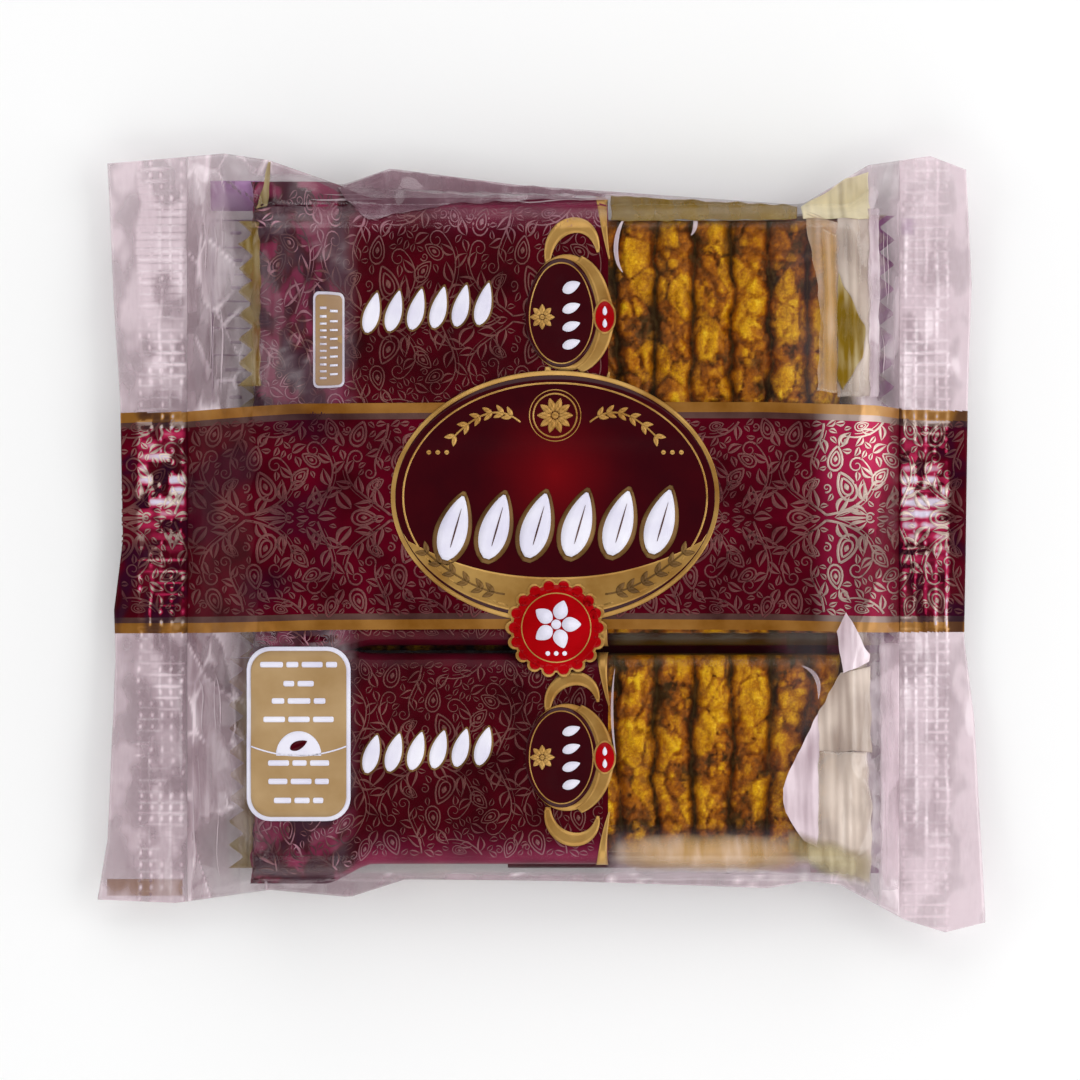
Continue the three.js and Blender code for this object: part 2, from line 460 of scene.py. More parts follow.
# Each ink: its name, a dark and a light tone, metallic, roughness, coat, and the colour of its painted
# highlight, or None.
for name, dark, light, metallic, roughness, coat, lit in (
    ("film", (54, 1, 9), (92, 1, 24), 0.1, 0.28, 0.05, (184, 38, 82)),
    ("maroon", (46, 1, 6), (80, 1, 16), 0.1, 0.24, 0.10, (150, 44, 84)),
    ("damask", (78, 34, 38), (122, 76, 74), 0.3, 0.32, 0.05, (240, 220, 206)),
    ("wrap", (76, 36, 36), (120, 76, 70), 0.3, 0.30, 0.12, (184, 130, 146)),
    ("gold", (150, 104, 44), (202, 160, 92), 0.4, 0.30, 0.12, None),
    ("stripe", (126, 78, 22), (168, 118, 58), 0.3, 0.30, 0.12, (206, 158, 104)),
    ("fin", (96, 34, 86), (142, 78, 136), 0.0, 0.35, 0.12, None),
    ("silver", (62, 34, 32), (108, 78, 72), 0.3, 0.30, 0.12, (206, 184, 176)),
    ("white", (216, 212, 232), (240, 238, 248), 0.0, 0.24, 0.12, None),
    ("red", (138, 1, 4), (176, 4, 14), 0.0, 0.24, 0.12, None),
    ("brown", (84, 58, 30), (124, 92, 50), 0.3, 0.24, 0.12, None),
    ("beige", (160, 128, 86), (182, 152, 112), 0.0, 0.24, 0.12, None),
    ("purple", (172, 124, 178), (202, 168, 206), 0.0, 0.24, 0.12, None),
    ("faint", (146, 124, 148), (168, 148, 168), 0.0, 0.24, 0.12, None),
):
    INKS[name] = print_finish(f"{name}_ink", srgb(*dark), srgb(*light), metallic, roughness, coat,
                              lit and srgb(*lit))
FILM_FINISHES = [film_clear, INKS["stripe"], INKS["silver"], INKS["film"]]
print(len(INKS), "inks")

# %% [markdown]
# ## Nougat
#
# This nougat is a brittle of nuts in dark caramel. Caramel is clear, nearly black where it lies deep in a
# groove and amber where it is thin. Light that really goes through it would be slow and noisy, so the
# colour is read from a height that is written on the mesh. That darkening into the grooves is partly
# the caramel's depth and partly painted shade.

# %% Nougat
LUMP_SIZE = 2.4
SPECK_SIZE = 0.5
PATCH_SIZE = 8.0
CARAMEL_AND_SHADE_TONES = (
    (0.0, srgb(40, 14, 1)), (0.18, srgb(76, 30, 2)), (0.40, srgb(122, 56, 1)),
    (0.62, srgb(160, 88, 1)), (0.82, srgb(192, 128, 4)), (1.0, srgb(224, 176, 20)),
)
NUT_TONES = (
    (0.0, srgb(104, 50, 0)), (0.35, srgb(168, 100, 1)), (0.7, srgb(214, 156, 5)), (1.0, srgb(248, 214, 60)),
)


def nougat_finish():
    """Caramel and nuts: near black in the grooves, amber on the slopes, gold on the crests, pale on the
    nuts. The dark of the grooves is partly painted shade."""
    recipe = Recipe("nougat", Specular_IOR_Level=0.45, Specular_Tint=(1.0, 0.72, 0.25, 1.0))
    height = recipe.attribute("height")
    nut = recipe.attribute("nut")
    lumps = recipe.grain(LUMP_SIZE, 5.0, rough=0.6)
    specks = recipe.grain(SPECK_SIZE, 4.0, rough=0.7)
    patches = recipe.grain(PATCH_SIZE, 3.0)
    # Height darkens the grooves: this is the caramel's depth, and painted shade as well.
    level = (height * 0.80 + lumps * 1.0 + specks * 0.7 + patches * 2.0 - 1.95).held()
    caramel = level.steps(*CARAMEL_AND_SHADE_TONES)
    kernel = (lumps * 0.9 + specks * 1.1 + height * 0.5 - 0.90).held().steps(*NUT_TONES)
    recipe.set("Base Color", recipe.mix((nut * (0.3 + lumps * 1.2)).held(), caramel, kernel))
    recipe.set("Roughness", 0.46 - level * 0.18)
    recipe.bump((lumps + specks * 0.6).held(0.0, 2.0), 0.25)
    return recipe.material


nougat = nougat_finish()
print(len(bpy.data.materials), "finishes in all")

# %% [markdown]
# ## The pack's sizes
#
# A bag takes its sizes from what it holds. Three bars side by side and two deep set its width and height,
# and the film needs some more at each end to be welded shut. The free edges wander, because the film
# shrank unevenly in the heat, so each is a line drawn from corner to corner.

# %% Sizes, in millimetres
PACK_TOP = 18.4
BASE = 0.5  # the underside of the film, above the folded seam
SEAL_Z = 7.0
FILM = 0.06  # half the thickness of two layers of film
CLEARANCE = 0.32  # how far the film stays above the wraps that it lies on
BARS_X = (-50.5, 55.5)  # where the bars' ends hold the film up
SEAL_X = (-63.7, 64.5)  # the inner edges of the two seals
SIDE_Y = (-60.4, 60.8)
MIDDLE = (2.5, 0.7)  # of the six bars, seen from above
SHOULDER = 5.0
CORNER_SLOPE = 13.0
VALLEY_DEPTH = 0.55
VALLEY_HALF = 3.4
BAR_Y = (40.1, 0.5, -38.7)  # the bars' middle lines
WRAP_HALF = 18.9  # half the width of a wrapped bar
WRAP_HALF_HEIGHT = 4.35
WRAP_CORNER = 3.2
FILM_CORNER = 4.2  # the film rounds a bar's shoulder more gently than the wrap does
LAYER_Z = (4.95, 13.65)  # the middles of the lower and of the upper bars

TOP_EDGE = np.array([
    [-78.1, 68.3], [-57.0, 70.1], [-49.0, 68.9], [-36.2, 64.4], [-34.4, 64.9], [-27.2, 67.4],
    [-3.8, 64.4], [45.7, 60.9], [47.5, 61.2], [58.9, 68.0], [70.0, 69.6], [76.5, 67.1],
])
BOTTOM_EDGE = np.array([
    [-79.9, -64.3], [-65.9, -64.9], [-48.8, -62.5], [-34.4, -63.8], [-24.5, -60.6], [3.4, -60.9],
    [41.2, -62.2], [47.7, -60.9], [53.8, -61.6], [65.5, -67.9], [72.7, -70.1], [79.9, -68.3],
])
LEFT_CUT = np.array([
    [-64.3, -79.9], [-53.5, -78.1], [-21.0, -76.7], [-12.1, -77.0], [0.5, -75.4], [25.7, -75.8],
    [43.7, -77.0], [68.3, -78.1],
])
RIGHT_CUT = np.array([[-68.3, 79.9], [-32.0, 78.1], [-17.5, 76.3], [25.7, 76.9], [47.3, 77.6], [67.1, 76.5]])
BAND_TOP = np.array([
    [-80, 23.3], [-64, 23.6], [-44, 24.9], [0, 25.2], [40, 25.2], [60, 24.6], [67, 23.9], [80, 23.7],
])
BAND_LOW = np.array([
    [-80, -16.4], [-60, -16.2], [-40, -15.6], [0, -15.4], [40, -15.6], [62, -16.1], [80, -16.1],
])
LABEL = (-43.4, -34.2)
LABEL_HALF = (9.3, 15.6)
print("three bars side by side are", round(3 * 2 * WRAP_HALF, 1), "mm wide")

# %% [markdown]
# ## From the seals up to the bars
#
# The film lies flat in the end seals, rises over the bars' ends in a rounded step, and dips a little
# between neighbouring bars. A cloth simulation would come out a little different from the solid, so the
# fine film repeats the solid's formulas.

# %% How high the film stands
def along(points, x):
    """The value at x of a line drawn straight from point to point."""
    return np.interp(x, points[:, 0], points[:, 1])


def fullness(x):
    """0 at an end seal, 1 over the bars, straight between."""
    left = (x - SEAL_X[0]) / (BARS_X[0] - SEAL_X[0])
    right = (SEAL_X[1] - x) / (SEAL_X[1] - BARS_X[1])
    return np.clip(np.minimum(left, right), 0, 1)


def wavering(x, y):
    """The film leaves the bars' ends along an uneven line: x moved outwards by up to 4 mm, and not at a
    seal."""
    side = np.sign(x)
    out = np.clip(1.6 + 3.0 * noise(y / 10 + 5 * side, 0 * y + 0.5, 12), 0, 4.5)
    full = fullness(x)
    return x - side * out * 4 * full * (1 - full) - side * 0.5 * out * smooth((full - 0.7) / 0.3)


def seal_height(x, y):
    """The seals' height: they droop towards the cut ends, and wave along them with two sines of y."""
    out = np.clip((abs(x) - 58) / 20, 0, 1)
    wave = np.sin(y / 10.5 + np.sign(x)) + 0.6 * np.sin(y / 23 - 1.2 * np.sign(x))
    return SEAL_Z + out * (0.9 * wave - 1.5 + 2.2 * (y / 68) ** 4)


def lift(x, y):
    """How far the film has risen from the seals' height, 0 to 1: a rounded step in from each side and end."""
    full = fullness(wavering(x, y))
    edge = np.where(y > 0, along(TOP_EDGE, x), -along(BOTTOM_EDGE, x))
    side = np.where(y > 0, SIDE_Y[1], -SIDE_Y[0])
    reach = edge + (side - edge) * full
    inside = np.clip((reach - abs(y)) / (CORNER_SLOPE + (SHOULDER - CORNER_SLOPE) * full), 0, 1)
    return (1 - (1 - full) ** 1.35) * (1 - (1 - inside) ** (1.25 + 1.35 * full))


def valley(y):
    """The dip between neighbouring bars: one bell curve over each gap."""
    gaps = [(BAR_Y[0] + BAR_Y[1]) / 2, (BAR_Y[1] + BAR_Y[2]) / 2]
    return sum(VALLEY_DEPTH * np.exp(-(((y - gap) / VALLEY_HALF) ** 2)) for gap in gaps)


def fade_at_seals(x):
    """0 in the seals, 1 a few millimetres away from them."""
    return smooth((x - SEAL_X[0]) / 5) * smooth((SEAL_X[1] - x) / 4)


def edge_fade(x, y):
    """0 on the free edge of the film, 1 a few millimetres in."""
    return smooth((along(TOP_EDGE, x) - y) / 4) * smooth((y - along(BOTTOM_EDGE, x)) / 4)


print("over a bar's middle the film has risen", lift(0.0, 0.5).round(3), "of the way to the top")

# %% [markdown]
# ## Loose film and its creases
#
# Film that lies on a bar is pulled flat. Film that hangs free between the bars and a seal was crumpled
# and pulled out again, which leaves facets with sharp creases between them. Noise alone looks like a soft
# blanket, so the facets come from mosaics of three sizes, whose height turns a corner at each border.

# %% Where the film is loose, and how it creases
FACET_SEED = 11
PLEAT_SEED = 33
WAVE_SEED = 31
CREASE_WIDTH = 0.07  # of a large facet, the share that its crease takes


def in_band(x, y, edge=2.0):
    """1 between the printed band's edges, 0 outside them."""
    return smooth((y - along(BAND_LOW, x)) / edge) * smooth((along(BAND_TOP, x) - y) / edge)


def in_label(x, y):
    """1 under the label, falling to 0 within 2 mm of it."""
    beside = smooth((LABEL_HALF[0] + 2 - abs(x - LABEL[0])) / 2)
    return beside * smooth((LABEL_HALF[1] + 2 - abs(y - LABEL[1])) / 2)


def looseness(x, y):
    """1 on film that hangs free at the ends and edges, near 0 on the bars, and little where it is printed."""
    ends = smooth((abs(x - MIDDLE[0]) - 46) / 9)
    sides = smooth((abs(y - MIDDLE[1]) - 57) / 4)
    return np.maximum(ends, sides) * (1 - 0.88 * in_band(x, y, 6.0)) * (1 - 0.85 * in_label(x, y))


def mosaics(x, y, seed):
    """Two mosaics of upright pieces, large and middling. Of each: the way in from the nearest border, and
    the piece's own random number."""
    _, large, own = cells(x / 11 + 0.4, y / 21 + 0.1, seed)
    _, middling, share = cells(x / 6 + y / 30, y / 13, seed + 1)
    return large, own, middling, share


def facets(x, y, seed):
    """Flat facets that meet in sharp creases, and a random number for each. In a mosaic, how much further
    the next point is than the nearest rises evenly from each border, like a facet."""
    large, own, middling, share = mosaics(x, y, seed)
    _, fine, _ = cells(x / 2.6 - y / 17, y / 7, seed + 2)
    return 1.3 * (large - 0.3) + 0.7 * (middling - 0.3) + 0.2 * (fine - 0.3), 0.5 * own + 0.5 * share


def crease_highlight_lines(x, y):
    """1 on the sharp creases between facets, falling off within half a millimetre, and each crease fades in
    and out along its length. It places the painted highlights on the creases."""
    large, _, middling, _ = mosaics(x, y, FACET_SEED)
    lines = np.maximum(smooth(1 - large / CREASE_WIDTH), 0.8 * smooth(1 - middling / (CREASE_WIDTH + 0.02)))
    return lines * smooth(0.45 + 2.4 * noise(x / 7, y / 9, FACET_SEED + 2))


def creases(x, y):
    """Facets where the film is loose, upright pleats besides at the taut right end, and long soft waves
    where it lies on the bars."""
    loose = looseness(x, y)
    sharp, _ = facets(x, y, FACET_SEED)
    pleats = 0.30 * noise(x / 1.5, y / 26, PLEAT_SEED) + 0.5 * noise(x / 4, y / 30, PLEAT_SEED + 1)
    sharp = np.where(x > 0, 0.35 * sharp + pleats, sharp)
    soft = noise(x / 18, y / 8, WAVE_SEED) * 0.12 + noise(x / 6, y / 5, WAVE_SEED + 1) * 0.03
    return (loose * sharp + soft * (1 - loose)) * fade_at_seals(x)


print("left of the bars, creases are", round(float(looseness(-58.0, 40.0)), 2), "of their full depth")

# %% [markdown]
# ## The film's two layers
#
# The upper layer rests on the bars' wraps, so it may crease upwards but never sink into them. The lower
# layer is the one that the pack lies on, so it is flat there. Both are heights over the same plan, and
# where they meet at the sides they are a film's thickness apart.

# %% The upper and the lower layer
def bars_top(x, y):
    """The height of the upper bars' wraps, flat with round shoulders, for the film to lie on."""
    highest = np.full(np.broadcast(x, y).shape, 0.0)
    flat = WRAP_HALF - FILM_CORNER
    ends = smooth((x + 53.0) / 4) * smooth((57.0 - x) / 4)
    for centre in BAR_Y:
        past = np.clip(abs(y - centre) - flat, 0, FILM_CORNER)
        drop = FILM_CORNER - np.sqrt(FILM_CORNER**2 - past**2)
        covers = abs(y - centre) < WRAP_HALF
        highest = np.maximum(highest, np.where(covers, (LAYER_Z[1] + WRAP_HALF_HEIGHT - drop) * ends, 0))
    return highest


def film_top(x, y):
    """The film's upper layer: from the seals' height up to the pack's top, by lift(), with valleys and
    creases."""
    start = seal_height(x, y) + FILM
    height = start + (PACK_TOP - start - valley(y)) * lift(x, y)
    rise = np.maximum(creases(x, y) + 0.5 * looseness(x, y), -0.3 * lift(x, y) + 0.05)
    return np.maximum(height + rise * edge_fade(x, y), bars_top(x, y) + CLEARANCE)


def film_under(x, y):
    """The lower layer: from the seals' height down to the base, flat under the bars."""
    start = seal_height(x, y) - FILM
    height = start - (start - BASE) * np.minimum(1, 1.12 * lift(x, y))
    sag = np.maximum(0.5 - creases(y, x) * 0.4, 0.05) * looseness(x, y) * fade_at_seals(x)
    return np.maximum(height - sag * edge_fade(x, y) * (1 - lift(x, y)), BASE)


middle_top, middle_under = film_top(*MIDDLE), film_under(*MIDDLE)
print("in the middle the two layers are", round(float(middle_top - middle_under), 2), "mm apart")

# %% [markdown]
# ## Rows that follow the print
#
# The body of the film is one grid on top and one below, joined at their rims. An edge of the print that
# crossed faces at a slant would look like a saw. So the rows of the grid follow the edges of the printed
# band, and each row of faces is clear, gold, silver or maroon.

# %% Rows from line to line
GOLD_STRIPE = 1.8
SILVER_STRIPE = 1.1
FLANK = 57.0  # from here outwards the film turns down over the bars' sides
ROWS = (16, 58, 3, 2, 52, 2, 3, 46, 18)  # rows of faces between one line and the next, from low Y to high
PRINT_OF_ROWS = (0, 0, 1, 2, 3, 2, 1, 0, 0)  # 0 is clear film, then gold, silver and maroon
COLUMNS = ((-46.0, 62), (50.0, 72), (SEAL_X[1], 56))  # up to this X, this many columns of faces


def band_lines(x):
    """The Y of every line that the rows follow at x: the free edges, the flanks, and the band's stripes."""
    low, high = along(BAND_LOW, x), along(BAND_TOP, x)
    flank = np.full_like(x, FLANK)
    lines = [along(BOTTOM_EDGE, x), -flank + 0.5, low, low + GOLD_STRIPE, low + GOLD_STRIPE + SILVER_STRIPE]
    lines += [high - GOLD_STRIPE - SILVER_STRIPE, high - GOLD_STRIPE, high, flank, along(TOP_EDGE, x)]
    return np.stack(lines, 1)


def spread(lines, counts):
    """Points between each line and the next, evenly, and one on the last line."""
    parts = [
        lines[:, k, None] + (lines[:, k + 1] - lines[:, k])[:, None] * (np.arange(count) / count)
        for k, count in enumerate(counts)
    ]
    return np.concatenate([*parts, lines[:, -1:]], 1)


print("the film has", sum(ROWS), "rows and", sum(count for _, count in COLUMNS), "columns of faces")

# %% [markdown]
# ## Milky and clear
#
# Where film touches a wrap it is clear. Where it hangs free, light scatters on both its faces, and it is
# milky: mauve where it is thin, and white where it is creased, which is painted highlight. Each point
# gets a haze, a whiteness, and how much light a print on it catches. The whiteness is painted highlight
# besides milkiness, and the light a print catches is painted highlight and painted shade. They could be
# painted by hand, but a rule follows the shape when a size is changed.

# %% Haze, whiteness and gleam
STREAK_SEED = 42
GLEAM_SEED = 14
DIM_SEED = 67


def bell(distance, width):
    """1 at a line, falling off as a bell curve."""
    return np.exp(-((distance / width) ** 2))


def streaks(x, y, seed):
    """Long soft painted highlights that run along a film end, 0 to 1: noise stretched four times along Y,
    with firm edges."""
    return smooth(0.5 + 1.1 * noise(x / 2.6 + y / 31, y / 12, seed) + 0.5 * noise(x / 0.9, y / 6, seed + 1))


def haze(x, y):
    """How milky the upper layer is: loose film most, film on a bar hardly at all, and on the bars' end fins
    it clings again. It is milkier over the crumpled ends, the window's low edge and the low fin at the
    right. Patches from facet to facet and lines on the creases are painted highlight."""
    side = np.where(y > 0, 62.4 + 3.6 * smooth((-29 - x) / 5), 60.5 + 1.5 * smooth((-36 - x) / 4))
    from_middle = abs(y - MIDDLE[1])
    near = smooth((x + 56) / 4) * smooth((58.5 - x) / 4) * smooth(side - from_middle)
    cling = smooth((x + 35) / 3) * smooth((48 - x) / 9) * smooth((60.0 - from_middle) / 2)
    fins = np.minimum(bell(x + 53.8, 4.2) + bell(x - 61.6, 2.6), 1)
    _, own = facets(x, y, FACET_SEED)
    # Painted highlight: the haze changes from facet to facet and along streaks.
    marks = 0.42 * (own - 0.5) + 0.10 * (streaks(x, y, STREAK_SEED) - 0.5)
    milk = 0.50 - 0.455 * near - 0.042 * cling + (marks - 0.28 * fins) * (1 - near)
    over_ends = smooth((-33 - x) / 2) * near * (0.09 * smooth(4 * own - 1.5) + 0.02)
    over_window = 0.34 * smooth((-50 - y) / 8) * smooth((x - 11) / 3) * smooth((52 - x) / 5) * near
    over_fin = 0.52 * smooth((x - 60.4) / 1.2) * smooth((-14 - y) / 6)
    # Painted highlight on the creases.
    lines = 0.30 * crease_highlight_lines(x, y) * (1 - near) * smooth((58 - x) / 2)
    return np.clip(milk + over_ends + over_window + over_fin + lines, 0.002, 1)


def whiteness(x, y):
    """How far the haze is white rather than mauve. This is painted highlight: most at the right end, also at
    the upper left, along the low edge and on creases, and patchy from facet to facet.
    """
    _, own = facets(x, y, FACET_SEED)
    base = 0.10 + 0.34 * smooth(y / 50) * smooth((-50 - x) / 5) + 0.56 * smooth((x - 30) / 28)
    base = base + 0.40 * smooth((-48 - y) / 8) * smooth((x - 8) / 10)
    base = base + 0.3 * smooth((x - 58) / 3) * smooth((-14 - y) / 6)
    base = base + 0.9 * crease_highlight_lines(x, y) * smooth((58 - x) / 2)
    patchy = 0.25 + 0.75 * smooth((abs(x - MIDDLE[0]) - 38) / 10)
    patches = 1.1 * (own - 0.5) + 0.35 * (streaks(x, y, STREAK_SEED) - 0.45)
    return np.clip(base + patches * patchy, 0, 1)


def gleam(x, y):
    """How much painted light the print catches: a painted highlight where the band starts to slope down at
    the right end, brighter towards its top, and patches of painted shade at the left end."""
    slope = smooth((x - 48) / 5) * smooth((66 - x) / 6)
    _, own = facets(x, y, GLEAM_SEED)
    dim = smooth(0.2 + 1.6 * noise(x / 11, y / 9, DIM_SEED)) * smooth((-34 - x) / 8)
    shine = 0.20 + 0.16 * smooth((y - 2) / 14) + 0.5 * (own - 0.5) * smooth((x - 52) / 6)
    return slope * shine - 0.35 * dim


print("haze on a bar", haze(0.0, 40.0).round(3), "and on loose film", haze(-60.0, 40.0).round(2))

# %% [markdown]
# ## Lay the film
#
# The columns of the grid are closer together at both ends, where the creases are. Faces on the upper
# layer get the print of their row. The lower layer isn't printed.

# %% Lay the film
UNDER_HAZE = 0.36
UNDER_WHITE = 0.25


def columns_from(start, columns):
    """The X of every column: even steps up to each end in turn."""
    at = [np.array([start])]
    for end, count in columns:
        at.append(np.linspace(at[-1][-1], end, count + 1)[1:])
    return np.concatenate(at)


def lay_film():
    """The envelope: both layers over one grid, with each row's print, and the haze of each point."""
    x = columns_from(SEAL_X[0], COLUMNS)
    y = spread(band_lines(x), ROWS)
    x = np.broadcast_to(x[:, None], y.shape)
    upper = np.stack([x, y, film_top(x, y)], -1)
    lower = np.stack([x, y, film_under(x, y)], -1)
    points, faces = shell(upper, lower)
    printed = np.repeat(PRINT_OF_ROWS, ROWS)
    face_material = np.zeros(len(faces), int)
    on_top = (y.shape[0] - 1) * (y.shape[1] - 1)
    face_material[:on_top] = np.tile(printed, y.shape[0] - 1)
    milk = np.concatenate([haze(x, y).ravel(), np.full(x.size, UNDER_HAZE)])
    white = np.concatenate([whiteness(x, y).ravel(), np.full(x.size, UNDER_WHITE)])
    shine = np.tile(gleam(x, y).ravel(), 2)
    return piece("film_body", points, faces, FILM_FINISHES,
                 face_material, {"haze": milk, "white": white, "gleam": shine})


film_pieces = [lay_film()]

# %% [markdown]
# ## The crimped seals
#
# Hot jaws press both layers into fine ridges across the seal, and between them into short upright dashes,
# like a waffle. A bump in the finish would be cheaper, but wouldn't show at the seal's edge, so the
# ridges are real: bell curves, added up.

# %% The shape of the seals
CRIMP_LENGTH = 9.4
RIDGE_PITCH = 2.07
RIDGE_HEIGHT = 0.17
COLUMN_PITCH = 1.9
COLUMN_HEIGHT = 0.12


def pressing(inward, y):
    """How strongly the jaws pressed: nothing beside the strip, and uneven along it."""
    strip = smooth(inward / 0.8) * smooth((CRIMP_LENGTH - inward) / 0.8)
    return strip * (0.75 + 0.5 * noise(inward / 7, y / 9, 51))


def crests(inward, y):
    """Bell curves on the lines of the waffle: a ridge along X every RIDGE_PITCH, and columns along Y."""
    return bell((y / RIDGE_PITCH) % 1 - 0.5, 0.17), bell((inward / COLUMN_PITCH) % 1 - 0.5, 0.15)


def waffle(inward, y):
    """Ridges along X and lower ones along Y, only on the pressed strip."""
    ridge, column = crests(inward, y)
    return pressing(inward, y) * (RIDGE_HEIGHT * (ridge - 0.35) + COLUMN_HEIGHT * (column - 0.35))


def seal_top(x, y):
    """A seal's upper face: its height, the waffle, and soft buckles that fade in from the body."""
    inner = np.where(x < 0, SEAL_X[0], SEAL_X[1])
    inward = abs(x - inner)
    buckle = 0.55 * noise(x / 9, y / 11, 52) + 0.25 * noise(x / 4, y / 6, 53)
    return seal_height(x, y) + waffle(inward, y) + buckle * smooth(inward / 3) + FILM


print("the ridges stand", round(RIDGE_HEIGHT + COLUMN_HEIGHT, 2), "mm high where they cross")

# %% [markdown]
# ## Painted highlights on the seals
#
# The crimps catch the lamps, and their highlights are painted white: fine lines on the ridges, short
# dashes between them, and on the left seal one block of white glare. Each kind comes and goes by its own
# noise. On the band the same marks are painted light that the print catches, with painted shade beside
# them.

# %% Marks and gleam of the seals
# The left seal's white block is painted glare.
GLARE_BLOCK_Y = 54.0  # on the left seal, the middle of the block that is white all over
NO_BLOCK = 99.0  # past the pack's edge
GLEAM_Y = (11.0, 7.0)  # on the left and the right seal, where the band's print shines most


def painted_crimp_highlights(inward, y, side, glare_y):
    """The painted highlights, 0 to 1: lines on the ridges, dashes between them and long upright streaks,
    each coming and going by its own noise. Around glare_y all is white glare but for thin grooves."""
    inward = inward + 0.45 * noise(inward / 4 + side, y / 7, 65)
    ridge, column = crests(inward, y)
    between_ridges = bell((y / RIDGE_PITCH + 0.5) % 1 - 0.5, 0.24)
    line_share = smooth(0.22 + 0.20 * side + 1.3 * noise(inward / 7 + side, y / 9, 56))
    full = smooth(1.6 * bell(y - glare_y, 11) - 0.4 + 1.2 * noise(inward / 4, y / 5, 68))
    groove = bell((y / RIDGE_PITCH * 1.5) % 1 - 0.5, 0.12)
    row, place = np.floor(y / RIDGE_PITCH + 0.5), np.floor(inward / COLUMN_PITCH)
    patchy = 1.5 * noise(place * 0.41 + side, row * 0.37, 57) + 0.7 * noise(place * 0.9, row * 0.83, 58)
    dash_share = smooth(0.6 + patchy)
    streak_share = smooth(1.8 * noise(place * 0.7 + 3 * side, y / 17, 59) - 0.15 + 0.35 * (side > 0))
    marks = np.maximum(ridge**2.5 * line_share, 1.2 * between_ridges * column * dash_share)
    marks = np.maximum(marks, (side < 0) * full * (0.85 - 0.6 * groove))
    return pressing(inward, y) * np.maximum(marks, column * streak_share * (0.6 + 0.4 * between_ridges))


def seal_gleam(inward, y, side):
    """How much painted light the band's print catches on a seal: painted highlight as pale lines on its
    ridges and, around one height, broad pale blocks of random lengths, and painted shade beside them."""
    middle = GLEAM_Y[side > 0]
    lines = painted_crimp_highlights(inward, y, side, NO_BLOCK)
    ragged = 0.10 * noise(inward / 1.2, y / 0.8, 64)
    wide = bell((y / RIDGE_PITCH + ragged) % 1 - 0.5, 0.34) ** 0.6
    row = np.floor(y / RIDGE_PITCH)
    block = smooth(0.75 + 2.6 * noise(inward / 3.2 + 5 * side, row * 0.61, 63)) * bell(y - middle, 8.5)
    marks = np.maximum(lines * 0.9, 1.6 * pressing(inward, y) * wide * block)
    painted_shade = 0.7 * smooth(0.3 + 2 * noise(inward / 4 + side, y / 5, 66)) * (1 - wide * block)
    return np.clip(marks + 0.10 * (side > 0) * pressing(inward, y) - painted_shade * (marks < 0.15), -1, 1)


print("the left seal is", round(float(painted_crimp_highlights(4.0, np.linspace(50, 58, 99), -1, GLARE_BLOCK_Y).mean()), 2),
      "white in its block")

# %% [markdown]
# ## Press the seals
#
# A seal is a strip of even columns under the jaws and a plain margin beyond it, whose columns fan out to
# the wandering cut. Ten rows of faces to a ridge carry both its shape and its painted highlights.

# %% Press the seals
ROWS_PER_RIDGE = 10
RIDGES = 66
CRIMP_COLUMNS = 44
MARGIN_COLUMNS = 9


def across_pack(x, share):
    """The Y at a share of the way from the low free edge to the high one."""
    low, high = along(BOTTOM_EDGE, x), along(TOP_EDGE, x)
    return low + share * (high - low)


def press_seal(name, side):
    """A strip of both layers, from the body to the cut: its columns fan out, its faces are printed by how
    deep they lie in the band, and its haze is soft patches and painted highlights, whiter on the right
    seal and on the left seal's upper part."""
    inner, cut = (SEAL_X[0], LEFT_CUT) if side < 0 else (SEAL_X[1], RIGHT_CUT)
    crimp_end = inner + side * CRIMP_LENGTH
    rows = ROWS_PER_RIDGE * RIDGES
    share = np.linspace(0, 1, rows + 1)[:, None]
    crimp = np.linspace(inner, crimp_end, CRIMP_COLUMNS + 1)[None, :-1]
    out = np.linspace(0, 1, MARGIN_COLUMNS + 1)[None, :]
    margin = crimp_end + out * (along(cut, across_pack(crimp_end, share)) - crimp_end)
    x = np.concatenate([np.broadcast_to(crimp, (rows + 1, CRIMP_COLUMNS)), margin], 1)
    y = across_pack(x, share)
    x, y = (grid[:, ::-1].T if side < 0 else grid.T for grid in (x, y))
    z = seal_top(x, y)
    points, faces = shell(np.stack([x, y, z], -1), np.stack([x, y, z - 2 * FILM], -1))
    middle = points[faces].mean(1)
    low, high = along(BAND_LOW, middle[:, 0]), along(BAND_TOP, middle[:, 0])
    depth = np.minimum(middle[:, 1] - low, high - middle[:, 1])
    face_material = np.digitize(depth, [0, GOLD_STRIPE, GOLD_STRIPE + SILVER_STRIPE])
    on_top = (x.shape[0] - 1) * (x.shape[1] - 1)
    face_material[on_top:] = 0
    px, py = points[:, 0], points[:, 1]
    inward = abs(px - inner)
    mark = painted_crimp_highlights(inward, py, side, GLARE_BLOCK_Y)
    patch = smooth(0.5 + 1.4 * noise(px / 5 + side, py / 9, 55) + 0.5 * noise(px / 2, py / 3, 54)) - 0.5
    # Painted highlight: the crimps' marks, and whiter haze on the right seal and on the left seal's upper
    # part.
    milk = 0.44 + 0.10 * (side > 0) + 0.18 * patch + 0.50 * mark
    white = 0.42 + (0.50 if side > 0 else 0.26 * smooth((py - 5) / 50)) + 0.5 * patch + 0.9 * mark
    shine = seal_gleam(inward, py, side)
    return piece(name, points, faces, FILM_FINISHES,
                 face_material, {"haze": milk, "white": np.clip(white, 0, 1), "gleam": shine})


film_pieces += [press_seal("seal_left", -1), press_seal("seal_right", 1)]

# %% [markdown]
# ## The folded seam
#
# The film is a flat web folded into a tube, and its two long edges are welded together. The weld lies
# folded flat along the underside, so it is made as a flat strip that follows it with a slight wave.

